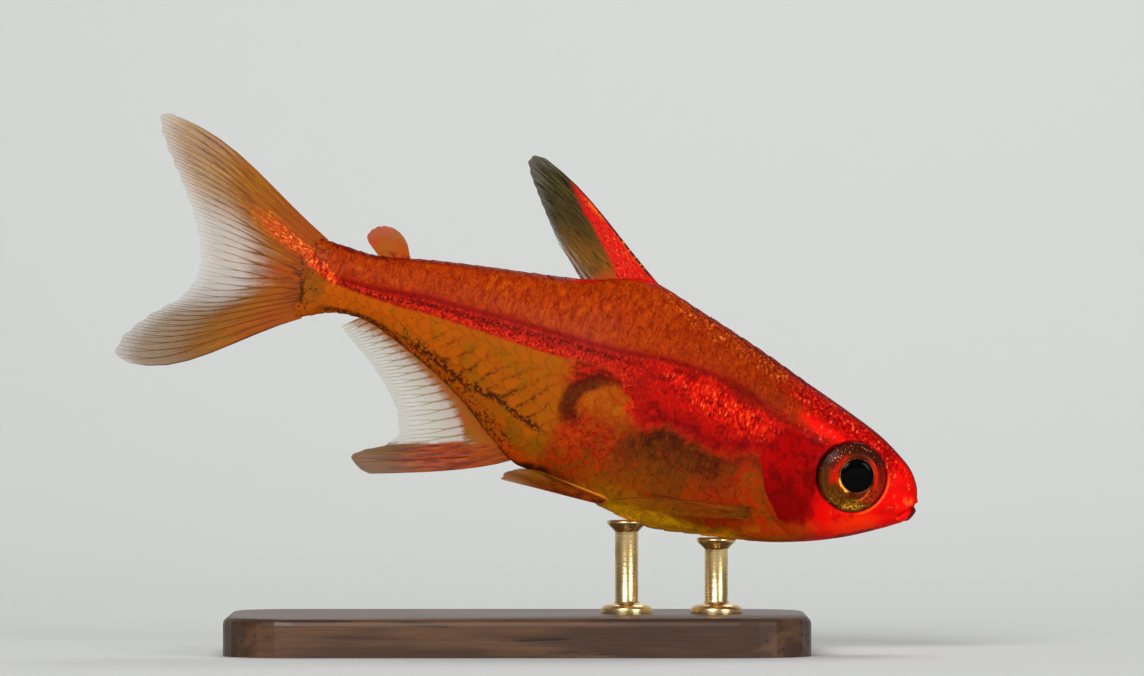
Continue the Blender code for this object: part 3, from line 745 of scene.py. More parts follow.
    # The belly cavity: brown gut, olive and amber walls, yellow keel lit by painted light, orange blotches.
    cavity = (s + wisp * 0.4 + (h + 1.2) * 0.12).ramp(11.4, 10.9) * below_band
    # The keel is yellow of its own, made brighter with painted light shining through its thin edge.
    keel_and_backlight = over_belly + haze * 0.5 + wisp * 0.3 - oval(s, h, (7.4, -3.7), (1.8, 1.0)).ramp(1.0, 0.3) * 0.35
    keel_and_backlight = keel_and_backlight.ramp(0.4, 0.02) * s.ramp(2.6, 4.2) * s.ramp(10.6, 9.6)
    # Painted light: a bright glow along the bottom edge, where light shines through the thin belly.
    backlit_belly_edge = (over_belly + wisp * 0.08).ramp(0.16, 0.05) * s.ramp(2.8, 4.2) * s.ramp(10.0, 9.0)
    gut = (s.along(GUT_TOP) - h + (loose_h - h) * 0.6).ramp(-0.05, 0.35) * (loose_h + wisp).ramp(-2.9, -1.3)
    gut = gut * loose_s.ramp(9.9, 8.7) * (loose_s - (h + 1.0) * 0.5).ramp(5.2, 6.6)
    hair = noise(stretched(vector, (13, 7, 3.6), (0, -0.35, 0)), 1.0, 3, 0.7)
    bowel_line = (patchy * 0.6 + hair * 0.5 + (h + 1.3) * 0.12).ramp(0.48, 0.66)
    edge_line = abs(h + 2.62 + (s - 6.4) * 0.1 + wisp * 0.08).ramp(0.08, 0.02)
    edge_line = edge_line * s.ramp(4.8, 5.2) * s.ramp(8.2, 7.2)
    belly = layered(
        (0.27, 0.042, 0.001),
        ((0.19, 0.045, 0.001), (cloud * 1.3 + fine * 0.5).ramp(0.75, 1.05)),
        ((0.44, 0.035, 0.001), (patchy + cloud * 0.5).ramp(0.8, 1.0) * 0.7),
        ((0.42, 0.022, 0.001),
         (s + h * 0.2).ramp(8.4, 9.4) * (patchy * 0.8 + fine * 0.4).ramp(0.45, 0.75) * 0.8),
        ((0.5, 0.035, 0.001), oval(loose_s, loose_h, (10.6, -1.75), (0.8, 0.5)).ramp(1.4, 0.2) * 0.7),
        ((0.3, 0.11, 0.002),
         (over_belly + haze * 0.8).ramp(1.1, 0.4) * s.ramp(5.5, 7.5) * s.ramp(10.2, 8.8) * 0.85),
        ((0.4, 0.035, 0.001), oval(loose_s, loose_h, (5.7, -2.1), (1.1, 0.8)).ramp(1.3, 0.4) * 0.8),
        ((0.16, 0.004, 0.001),
         (h - low + 0.7 + haze * 0.8 + wisp * 0.3).ramp(-0.1, 0.5) * s.ramp(9.4, 8.2) * 0.9),
        ((0.44, 0.016, 0.001),
         (s + patchy).ramp(7.6, 6.6) * (fine * 0.5 + patchy * 0.6).ramp(0.52, 0.66) * 0.85),
        ((0.2, 0.012, 0.001),
         (s + patchy).ramp(7.8, 6.8) * (fine * 0.6 + patchy * 0.5).ramp(0.5, 0.42) * 0.6),
        ((0.3, 0.008, 0.001),
         oval(loose_s, loose_h, (9.9, -1.65), (1.3, 0.6), 12).ramp(1.3, 0.5) * fine.ramp(0.42, 0.56) * 0.7),
        ((0.24, 0.006, 0.001), (fine + grit * 0.5).ramp(0.52, 0.64) * (s * 0.5 + h).ramp(2.0, 3.2) * 0.7),
        ((0.13, 0.012, 0.001), grain.ramp(0.42, 0.3) * 0.5),
        ((0.74, 0.36, 0.003), keel_and_backlight * (0.5 + (patchy + wisp * 0.5).ramp(0.4, 0.62) * 0.45)),
        ((0.42, 0.02, 0.001), oval(loose_s, loose_h, (5.5, -2.5), (1.2, 0.5)).ramp(1.3, 0.4) * 0.6),
        ((1.0, 0.42, 0.02), backlit_belly_edge * 0.75),
        (paint((0.1, 0.02, 0.001), (0.035, 0.005, 0.001), bowel_line),
         gut * (0.7 + fine * 0.5).at_most(1.0) * 0.95),
        ((0.26, 0.028, 0.004), hair.ramp(0.53, 0.66) * (gut * 0.9).at_least(0.25) * 0.8),
        ((0.05, 0.004, 0.001), hair.ramp(0.45, 0.36) * (gut * 0.75).at_least(0.4)),
        ((0.12, 0.01, 0.001), edge_line * 0.75),
    )
    tone = paint(tone, belly, cavity)

    # The swim bladder: a dark rim like a hook over an amber window, with red tissue round it.
    near_s, near_h = s + (loose_s - s) * 0.35, h + (loose_h - h) * 0.35
    bladder = oval(near_s, near_h, (10.05, -0.9), (1.22, 1.1))
    tissue = (near_h + drift * 0.4).ramp(-0.7, -0.15) * (near_s + wisp * 0.5).ramp(11.8, 11.0) * below_band
    hook = near_s.ramp(9.7, 10.7)
    window = (bladder + wisp * 0.3).ramp(1.0, 0.8) * near_h.ramp(-1.25, -0.7)
    window = window * (near_s + wisp * 0.6 + drift * 0.6).ramp(8.7, 9.7)
    rim = (bladder + wisp * 0.12).ramp(1.16, 0.98) * (bladder + hook * 0.3 + wisp * 0.16).ramp(0.82, 1.0)
    rim = rim * near_h.ramp(-1.75, -1.2) * near_s.ramp(8.6, 9.4)
    glow = oval(loose_s, loose_h, (8.7, -0.05), (0.65, 0.75), 15)
    tone = layered(
        tone,
        (paint((0.15, 0.001, 0.001), (0.42, 0.008, 0.001), (fine + patchy * 0.6).ramp(0.68, 0.95)),
         tissue * 0.92),
        (paint((0.36, 0.05, 0.001), (0.36, 0.085, 0.002), (hair * 0.5 + patchy * 0.6).ramp(0.45, 0.65)),
         window * 0.95),
        ((0.05, 0.004, 0.001), rim * (0.6 + hook * 0.28) * (0.65 + fine * 0.6).at_most(1.0)),
        ((0.95, 0.006, 0.001), glow.ramp(1.4, 0.3) * 0.95),
    )

    # The side's band: a dark upper line, then rows of bright flakes parted by dark red dots.
    in_band = (1.0 - below_band) * (1.0 - above_band)
    depth = line - h
    bead_gap, bead_pick = cells(stretched(vector, (7.6, 3.0, 9.0)), 1.0)
    flick = noise(stretched(vector, (15, 5, 9), (0, 0.3, 0)), 1.0, 2, 0.75)
    low_half = (h - low + wisp * 0.1).ramp(0.3, 0.12)
    bead = (flick + low_half * 0.05).ramp(0.46, 0.66)
    pits = (bead_gap + grit * 0.6).ramp(0.44, 0.24) * (bead_pick - low_half * 0.12).ramp(0.36, 0.5)
    row = abs(depth - 0.3 + wisp * 0.08).ramp(0.12, 0.04)
    lit = layered(
        (0.3, 0.004, 0.001),
        ((0.66, 0.026, 0.006), bead * (0.6 + low_half * 0.4)),
        ((0.11, 0.002, 0.001), pits * 0.85),
        ((0.1, 0.003, 0.001), row * (grain + flick * 0.5).ramp(0.86, 0.7) * s.ramp(9.0, 10.5) * 0.9),
        ((0.26, 0.004, 0.001),
         (h - low + wisp * 0.08).ramp(0.1, 0.02) * s.ramp(9.0, 10.5) * (0.4 + pits * 0.6)),
    )
    band = paint(lit, (0.2, 0.004, 0.001), depth.ramp(0.2, 0.1) * (0.65 + grain * 0.5).at_most(1.0))
    halo = (h - line).ramp(0.22, 0.0) * (h - line).ramp(-0.08, 0.0) * 0.55
    tone = layered(
        tone,
        (band, in_band * s.ramp(20.1, 19.3)),
        ((0.3, 0.008, 0.001), halo * s.ramp(19.6, 18.5)),
    )

    # The shoulder: deep red under bright upright flakes, densest in the middle.
    shoulder = in_band * (s + ragged * 2.0).ramp(9.6, 8.4)
    clot = noise(stretched(vector, (2.6, 2, 3.2), shift=(4, 1, 2)), 1.0, 4, 0.65)
    bright = oval(s, h, (6.4, 0.5), (2.6, 0.62), 10).ramp(1.3, 0.15)
    fleck = noise(stretched(vector, (12, 8, 5)), 1.0, 2, 0.75) + (clot - 0.5) * 0.35
    shade = oval(s, h, (5.95, 1.05), (0.75, 0.32), 15).ramp(1.2, 0.4)
    crimson = (h - low + wisp * 0.2).ramp(0.6, 0.1) * shoulder * (cloud + fine * 0.4).ramp(0.45, 0.72)
    tone = layered(
        tone,
        ((0.42, 0.003, 0.001), shoulder * depth.ramp(0.15, 0.3) * 0.9),
        ((0.17, 0.001, 0.001),
         shoulder * depth.ramp(0.15, 0.3) * (clot + fine * 0.3).ramp(0.68, 0.52) * 0.85),
        ((0.66, 0.008, 0.002),
         shoulder * depth.ramp(0.1, 0.3) * (fleck + bright * 0.1).ramp(0.52, 0.6) * (0.4 + bright * 0.6)),
        ((0.9, 0.07, 0.008), shoulder * (fleck + bright * 0.12).ramp(0.67, 0.75) * (0.3 + bright * 0.55)),
        # The palest orange-pink flakes: real flakes, their pale colour a painted glint of light.
        ((0.9, 0.17, 0.035),
         shoulder * bright * flake_gap.ramp(0.4, 0.18) * (flake + clot * 0.4).ramp(0.93, 1.0) * 0.85),
        ((0.14, 0.004, 0.001), shade * (0.5 + fine * 0.6) * 0.85),
        ((0.16, 0.001, 0.001), crimson * 0.85),
    )

    # The gill cover: deep dark red, its rear edge sharp, with darker blotches.
    on_gill = (h.along(GILL_REAR) - s + wisp * 0.1).ramp(-0.04, 0.05) * (h - wisp * 0.3).ramp(0.75, 0.3)
    gill = layered(
        (0.36, 0.0, 0.0),
        ((0.17, 0.0, 0.0), (cloud * 0.8 + patchy * 0.5 + wisp * 0.5).ramp(0.55, 0.8)),
        ((0.16, 0.0, 0.0), (h + haze * 0.8).ramp(-0.9, -1.7) * 0.75),
        ((0.1, 0.0, 0.0), grain.ramp(0.4, 0.28) * fine.ramp(0.55, 0.4) * 0.7),
        ((0.12, 0.001, 0.0),
         oval(s, h, (4.25, -1.35), (0.35, 0.5), 20).ramp(1.3, 0.4) * patchy.ramp(0.35, 0.6) * 0.7),
    )
    tone = paint(tone, gill, on_gill)

    # The face: pure bright red before, below and behind the eye, darker and speckled on the crown.
    face = (s + drift * 0.5 + haze * 0.4).ramp(3.15, 2.7)
    mottled = (patchy + grit * 0.8).ramp(0.62, 0.74) * h.ramp(-1.0, -1.3).at_least(s.ramp(1.2, 0.6))
    face_tone = layered(
        (0.92, 0.002, 0.001),
        ((0.66, 0.002, 0.001), (cloud + patchy * 0.4).ramp(0.62, 0.84)),
        ((0.45, 0.001, 0.001), (s + h * 0.2).ramp(1.9, 2.9) * h.ramp(0.4, -0.2) * 0.75),
        ((0.35, 0.001, 0.001), (patchy + fine * 0.5).ramp(0.84, 0.96) * (s + h * 0.3).ramp(0.6, 1.6) * 0.6),
        ((1.0, 0.06, 0.004), mottled * 0.65),
        ((1.0, 0.025, 0.001), oval(loose_s, loose_h, (1.5, -1.65), (0.9, 0.4), -35).ramp(1.3, 0.4) * 0.9),
    )
    lid_edge = abs(oval(s, h, EYE_PLACE, (EYE_RADIUS + 0.06,) * 2) - 1.0 + wisp * 0.06).ramp(0.05, 0.015)
    lid_edge = lid_edge * ((s * -1.0 + EYE_PLACE[0]) * 0.94 - (h - EYE_PLACE[1]) * 0.34).ramp(0.75, 1.08)
    streak_red = oval(s, h + wisp * 0.3, (3.4, 0.9), (0.85, 0.28), 12)
    crumb = noise(stretched(vector, shift=(3, 8, 5)), 11.0, 3, 0.7)
    crown = (under_back + drift * 0.3).ramp(1.0, 0.55) * s.ramp(5.6, 4.0) * s.ramp(0.5, 1.2)
    speckled = crown.at_least(streak_red.ramp(2.0, 1.2))
    # Pale pink specks on the crown and the top of the snout are painted glints of light.
    speck_gap, speck = cells(stretched(vector, (7.5, 5, 5), (0, 0.4, 0)), 1.0)
    glint_specks = (speck_gap + (crumb - 0.5) * 1.0).ramp(0.36, 0.14) * (speck + clot * 0.6).ramp(0.9, 1.05)
    profile = under_back.ramp(0.17, 0.03) * s.ramp(6.0, 4.5)
    throat = (over_belly + drift * 0.6).ramp(0.85, 0.35) * s.ramp(2.2, 3.0) * s.ramp(5.2, 4.2)
    # A painted highlight: bright orange on the upper lip.
    lip_highlight = oval(s, h, (0.12, -0.42), (0.22, 0.16)).ramp(1.2, 0.4)
    tone = layered(
        tone,
        (face_tone, face),
        ((1.0, 0.1, 0.01), lid_edge * 0.7),
        ((0.9, 0.004, 0.001), (streak_red + (crumb - 0.5) * 1.2).ramp(1.3, 0.5) * 0.9),
        (paint((0.42, 0.002, 0.001), (0.13, 0.0, 0.0), crumb.ramp(0.52, 0.4)), crown * 0.9),
        ((0.85, 0.02, 0.008), speckled * (crumb + (clot - 0.5) * 0.4).ramp(0.55, 0.63) * 0.85),
        ((0.85, 0.09, 0.045), speckled * glint_specks * 0.85),
        ((0.85, 0.1, 0.012),
         under_back.ramp(1.4, 0.9) * under_back.ramp(0.15, 0.3) * s.ramp(3.0, 2.4) * glint_specks * 0.9),
        ((0.1, 0.002, 0.001), profile * 0.85),
        ((0.5, 0.04, 0.002), throat * 0.85),
        ((0.5, 0.13, 0.003),
         throat * cloud.ramp(0.45, 0.6) * s.ramp(2.8, 3.6) * over_belly.ramp(0.6, 0.3) * 0.8),
        ((1.0, 0.12, 0.01), lip_highlight * fine.ramp(0.4, 0.6) * 0.7),
    )

    # The root of the tail fin: olive-brown with dark dots, a dark line and a streak of red and gold.
    root = (loose_s - h * 0.27).ramp(19.0, 19.6)
    streak_line = abs(h - 0.42 - (s - 19.35) * 0.42 + wisp * 0.3).ramp(0.26, 0.08) * s.ramp(18.9, 19.4)
    tone = layered(
        tone,
        ((0.33, 0.065, 0.002), root * 0.8),
        ((0.2, 0.06, 0.003), root * oval(s, h, (19.75, -0.05), (0.5, 0.5)).ramp(1.4, 0.5) * 0.6),
        ((0.24, 0.008, 0.001), root * h.ramp(0.3, 0.7) * (fine + patchy * 0.4).ramp(0.6, 0.8) * 0.85),
        (paint((0.3, 0.01, 0.001), (0.85, 0.05, 0.003), fleck.ramp(0.44, 0.54)), streak_line * 0.95),
        ((1.0, 0.36, 0.05), streak_line * fleck.ramp(0.6, 0.66)),
    )

    # Black pigment: single dots, the seams over the anal fin, the vent, the chin and the jaw's edge.
    seam_line = abs(chamber + wisp * 0.4 + drift * 0.2).ramp(0.17, 0.05) * s.ramp(11.2, 11.9)
    seam_line = seam_line * s.ramp(17.0, 16.0) * fine.ramp(0.4, 0.52)
    base_dark = abs(base + wisp * 0.1).ramp(0.12, 0.04) * s.ramp(11.0, 11.4) * s.ramp(19.5, 19.1)
    net = (under_gap + wisp * 0.3).ramp(0.42, 0.58) * under_pick.ramp(0.3, 0.5) * fine.ramp(0.4, 0.5)
    net = net * (base.ramp(-0.02, 0.05) * base.ramp(0.75, 0.45)) * s.ramp(11.8, 12.6) * s.ramp(17.2, 16.4)
    vent = oval(s, h, (11.45, -3.2), (0.6, 0.17), -4).ramp(1.2, 0.5) * patchy.ramp(0.3, 0.45)
    chin = (over_belly + wisp * 0.2).ramp(0.2, 0.06) * s.ramp(2.6, 1.8) * s.ramp(0.4, 0.7)
    chin = chin * patchy.ramp(0.34, 0.48)
    jaw = s.ramp(0.05, -0.03) * h.ramp(-0.5, -0.58)
    root_dots = root * dot_gap.ramp(0.36, 0.2) * dot_pick.ramp(0.35, 0.5)
    root_edge = abs(s - 20.1 - h * 0.267 + wisp * 0.2).ramp(0.13, 0.03) * h.ramp(-0.8, -0.6)
    root_edge = root_edge * fine.ramp(0.36, 0.5)
    dots = dot_gap.ramp(0.22, 0.12) * dot_pick.ramp(0.62, 0.68) * (1.0 - face) * s.ramp(4.5, 6.0)
    black = seam_line * 0.9
    for pigment in (
        base_dark * (0.2 + (grain * 0.5 + fine * 0.5).ramp(0.4, 0.58) * 0.75), net * 0.8, vent * 0.9,
        chin * 0.75, jaw * 0.9, dots * 0.6, root_dots * 0.8, root_edge * 0.8,
    ):
        black = black.at_least(pigment)
    black = black.at_most(1.0)
    tone = paint(tone, (0.035, 0.006, 0.002), black)
    join(tree, tone, out.inputs["Color"])
    shine = (shoulder * bright * 0.6).at_least(in_band * s.ramp(10.0, 12.0) * 0.4 * bead)
    join(tree, (shine * flake.ramp(0.3, 0.75)).at_least(gilt) * (1.0 - black), out.inputs["Glitter"])
    return tree


markings_group = markings()


def marked(tree):
    node = tree.nodes.new("ShaderNodeGroup")
    node.node_tree = markings_group
    return (Field(tree, node.outputs[word]) for word in ("Color", "Glitter"))


def set_wet(tree, shader, tone, glitter, grain, normal):
    """The thin slime over skin and scales, more like a mirror where flakes glitter through it."""
    set_sockets(tree, shader, {
        "Base Color": tone, "Roughness": 0.48 - glitter * 0.2 + grain * 0.1, "Metallic": glitter * 0.4,
        "Coat Weight": 0.045, "Coat Roughness": 0.26, "Specular IOR Level": 0.05, "IOR": 1.3,
        "Normal": normal,
    })


def wet_skin():
    material, tree, shader = new_material("wet_skin")
    tone, glitter = marked(tree)
    place = in_millimetres(tree)
    pores = noise(place, 14.0, 3, 0.6)
    _, pick = cells(stretched(place, (9, 9, 6)), 1.0)
    normal = bumped(tree, pores * 0.3 + pick * glitter * 1.4, 0.02 * MM)
    set_wet(tree, shader, tone, glitter, pores, normal)
    return material


skin = make_skin()
give_material(skin, wet_skin())
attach(skin, "root")
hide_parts("head", "trunk", "tail_stem")


# The scales: thin horny plates that overlap like tiles, their roots under the skin and their round rear
# edges free. They run in rows along the body, smaller towards the tail, and leave the head bare.
SCALES_START, SCALES_END = 3.9, 19.7
SCALE_LENGTH = ((3.9, 0.46), (7.0, 0.56), (12.0, 0.52), (16.0, 0.44), (19.9, 0.32))
ROW_HEIGHT = ((3.9, 0.52), (8.0, 0.6), (12.0, 0.56), (16.0, 0.44), (19.9, 0.32))
SCALE_OVERLAP = 1.62
PLATE_ACROSS, PLATE_ALONG = 7, 5
PLATE_ROOT, PLATE_TIP, PLATE_DOME, PLATE_THICK = -0.04, 0.0, 0.003, 0.007
scale_length, row_height = smooth_line(SCALE_LENGTH), smooth_line(ROW_HEIGHT)


def grid_place(value, grid):
    """Where a value lies on an even grid, in steps from its start."""
    return np.clip((value - grid[0]) / (grid[1] - grid[0]), 0, len(grid) - 1.001)


class Girth:
    """Turns distances over the skin, measured round the body from its widest line, into angles."""

    def __init__(self):
        self.stations = np.linspace(SCALES_START - 1, SKIN_END, 240)
        self.reach = np.linspace(-7, 7, 561)
        angles = np.linspace(-180, 180, 721)
        self.table, self.ends = [], []
        for s in self.stations:
            ring = hull(np.full(len(angles), s), angles)
            over = np.concatenate([[0], np.cumsum(np.linalg.norm(np.diff(ring, axis=0), axis=1))])
            over -= np.interp(0, angles, over)
            self.table.append(np.interp(self.reach, over, angles))
            self.ends.append((np.interp(-90, angles, over), np.interp(90, angles, over)))
        self.table, self.ends = np.array(self.table), np.array(self.ends)

    def angle(self, s, over):
        row, column = grid_place(s, self.stations), grid_place(over, self.reach)
        i, j = row.astype(int), column.astype(int)
        a, b = row - i, column - j
        near = self.table[i, j] * (1 - b) + self.table[i, j + 1] * b
        far = self.table[i + 1, j] * (1 - b) + self.table[i + 1, j + 1] * b
        return near * (1 - a) + far * a

    def limits(self, s):
        """How far it is from the widest line to the belly's and to the back's ridge."""
        return [float(np.interp(s, self.stations, self.ends[:, k])) for k in (0, 1)]


girth = Girth()


def outward(s, angle):
    """The direction straight out of the skin."""
    ahead, behind = hull(s - 0.03, angle), hull(s + 0.03, angle)
    out = np.cross(hull(s, angle + 2) - hull(s, angle - 2), ahead - behind)
    return out / np.maximum(np.linalg.norm(out, axis=-1, keepdims=True), 1e-9)


def scale_roots(rng):
    """Each scale's root, its distance over the skin, its length and its width."""
    roots, s = [], SCALES_START
    while s < SCALES_END:
        length, height = float(scale_length(s)), float(row_height(s))
        low, high = girth.limits(s)
        for row in range(math.ceil(low / height - 0.5), math.floor(high / height + 0.5) + 1):
            over = min(max(row * height, low), high)
            place = s + 0.5 * length * (row % 2) + rng.normal(0, 0.015)
            angle = float(girth.angle(np.array([place]), np.array([over]))[0])
            if place > gill_line(angle) + 0.03:
                roots.append((place, over + rng.normal(0, 0.01), length, height))
        s += length
    return np.array(roots)


def plate_pattern():
    """One scale on the flat: its points' places across and along, and the share of its length."""
    across, along = np.meshgrid(np.linspace(-1, 1, PLATE_ACROSS), np.linspace(0, 1, PLATE_ALONG))
    rounded = np.sqrt(1 - (0.9 * across) ** 2)
    reach = along * (0.5 + 0.5 * rounded)
    width = across * (0.82 + 0.18 * np.sin(math.pi * along))
    return width.ravel(), reach.ravel(), along.ravel()


def plate_faces():
    """The quads of a closed plate: its top points come first, then its bottom points."""
    count, faces = PLATE_ACROSS * PLATE_ALONG, []
    for j in range(PLATE_ALONG - 1):
        for i in range(PLATE_ACROSS - 1):
            a = j * PLATE_ACROSS + i
            quad = (a, a + 1, a + 1 + PLATE_ACROSS, a + PLATE_ACROSS)
            faces.append(quad)
            faces.append(tuple(count + k for k in reversed(quad)))
    rim = list(range(PLATE_ACROSS))
    rim += [j * PLATE_ACROSS + PLATE_ACROSS - 1 for j in range(1, PLATE_ALONG)]
    rim += [count - 1 - i for i in range(1, PLATE_ACROSS)]
    rim += [j * PLATE_ACROSS for j in range(PLATE_ALONG - 2, 0, -1)]
    for a, b in zip(rim, rim[1:] + rim[:1]):
        faces.append((b, a, count + a, count + b))
    return np.array(faces)


def raw_mesh(name, points, faces):
    """A smooth mesh object from points in the fish's frame, placed in the row frame."""
    mesh = bpy.data.meshes.new(name)
    mesh.from_pydata(np.asarray(points, float).tolist(), [], [tuple(face) for face in faces])
    mesh.transform(to_row)
    mesh.shade_smooth()
    mesh.set_sharp_from_angle(angle=math.radians(50))
    piece = bpy.data.objects.new(name, mesh)
    bpy.context.scene.collection.objects.link(piece)
    return piece


def note_points(piece, name, values):
    layer = piece.data.attributes.new(name, "FLOAT", "POINT")
    layer.data.foreach_set("value", np.asarray(values, np.float32))


def map_points(piece, name, places):
    """A UV map with one flat place for each vertex."""
    corners = np.empty(len(piece.data.loops), int)
    piece.data.loops.foreach_get("vertex_index", corners)
    layer = piece.data.uv_layers.new(name=name)
    layer.data.foreach_set("uv", np.asarray(places, float)[corners].ravel())


def make_scales(word, side, rng):
    roots = scale_roots(rng)
    width, reach, along = plate_pattern()
    place, over, length, height = (column[:, None] for column in roots.T)
    slant = rng.normal(0, 0.02, (len(roots), 1))
    s = np.minimum(place + reach * length * SCALE_OVERLAP + width * slant, SKIN_END)
    angle = girth.angle(s, over + width * height * 0.57)
    base, out = hull(s, angle), outward(s, angle)
    raised = PLATE_ROOT + (PLATE_TIP - PLATE_ROOT) * along**0.8 + PLATE_DOME * (1 - width**2)
    raised = (raised + rng.normal(0, 0.0015, (len(roots), 1)))[..., None]
    points = np.concatenate([base + out * raised, base + out * (raised - PLATE_THICK)], axis=1)
    points[..., 1] *= side
    count = points.shape[1]
    faces = plate_faces()[:, ::side]
    faces = (faces[None] + (np.arange(len(roots)) * count)[:, None, None]).reshape(-1, 4)
    scales = raw_mesh(f"scales_{word}", points.reshape(-1, 3), faces.tolist())
    note_points(scales, "rim", np.tile(along, 2 * len(roots)))
    note_points(scales, "chance", rng.random(len(roots)).repeat(count))
    patch_s = (place - SCALES_START + 0.6) / (SKIN_END - SCALES_START + 1.2) + 0.003 * (reach - 0.5)
    patch_over = 0.5 + over / 10.0 + 0.0015 * width
    patch = np.stack([patch_s, patch_over], axis=-1)
    map_points(scales, "OFBake", np.concatenate([patch, patch], axis=1).reshape(-1, 2))
    return scales


def noted(tree, name):
    node = tree.nodes.new("ShaderNodeAttribute")
    node.attribute_name = name
    return Field(tree, node.outputs["Fac"])


def darkened(tone, by):
    """The colour multiplied by a field."""
    node = tone.tree.nodes.new("ShaderNodeMix")
    node.data_type, node.blend_type = "RGBA", "MULTIPLY"
    node.inputs["Factor"].default_value = 1.0
    join(tone.tree, tone, node.inputs[6])
    join(tone.tree, by, node.inputs[7])
    return Field(tone.tree, node.outputs[2])


def horny_scale():
    material, tree, shader = new_material("horny_scale")
    tone, glitter = marked(tree)
    rim, chance = noted(tree, "rim"), noted(tree, "chance")
    fine = noise(in_millimetres(tree), 16.0, 2, 0.6)
    # Each scale is darkened along its free rear edge, painted shade where it steps over the next scale; its
    # tone also differs a little at random.
    tone = darkened(tone, 1.0 - rim.ramp(0.84, 0.99) * (0.04 + fine * 0.2) + (chance - 0.5) * 0.1)
    normal = bumped(tree, (rim * 46.0).sine() * 0.12 + fine * 0.6, 0.01 * MM)
    set_wet(tree, shader, tone, glitter, fine, normal)
    return material


scale_finish = horny_scale()
for word, side in (("left", 1), ("right", -1)):
    scales = make_scales(word, side, np.random.default_rng(7))
    give_material(scales, scale_finish)
    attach(scales, "root")


# The eyes: a flattened ball in each side of the head. A hard clear cornea lies over a brown iris with
# gold and red segments, and the black lens bulges through the pupil with a fine gold rim round it.
EYE_STANDS_OUT, EYE_LEANS_FORWARD, EYE_HALF_DEPTH = 0.13, 9.0, 0.5
PUPIL_SHIFT = (0.08, 0.09)
EYE_PROFILE = (
    (-0.5, 0.01), (-0.46, 0.4), (-0.36, 0.75), (-0.2, 0.98), (0.0, 1.08), (0.16, 1.09), (0.24, 1.07),
    (0.29, 1.03), (0.3, 0.98), (0.32, 0.94), (0.36, 0.86), (0.4, 0.76), (0.425, 0.66), (0.43, 0.6),
    (0.425, 0.56), (0.425, 0.535), (0.44, 0.515), (0.465, 0.48), (0.49, 0.4), (0.5, 0.28), (0.505, 0.14),
    (0.506, 0.01),
)


def make_eye(word, side):
    eye = turned(f"eyeball_{word}", EYE_PROFILE, 128)
    points = read_points(eye) / MM
    ring = np.hypot(points[:, 0], points[:, 1])
    front = points[:, 2] > 0.1
    moved = step(ring, 1.05, 0.5) * front
    points[:, 0] += PUPIL_SHIFT[0] * moved
    points[:, 1] += PUPIL_SHIFT[1] * moved
    move_points(eye, points)
    note_points(eye, "ring", np.where(front, ring, 1.2))
    map_points(eye, "Eye", points[:, :2] / 2.4 + 0.5)
    s, h = EYE_PLACE
    out = float(flank(np.array([s]), np.array([h]))[0]) + EYE_STANDS_OUT - EYE_HALF_DEPTH
    facing = Matrix(((1, 0, 0, -s), (0, 0, side, side * out), (0, 1, 0, h), (0, 0, 0, 1)))
    place = Matrix.Translation((-s, side * out, h))
    lean = Matrix.Rotation(math.radians(-side * EYE_LEANS_FORWARD), 4, "Z")
    eye.data.transform(to_row @ place @ lean @ place.inverted() @ facing)
    face_outwards(eye)
    bpy.ops.object.shade_smooth()
    return eye


def flat_place(tree, name):
    """The two numbers of a UV map."""
    node = tree.nodes.new("ShaderNodeUVMap")
    node.uv_map = name
    split = tree.nodes.new("ShaderNodeSeparateXYZ")
    tree.links.new(node.outputs[0], split.inputs[0])
    return Field(tree, split.outputs[0]), Field(tree, split.outputs[1]), Field(tree, node.outputs[0])


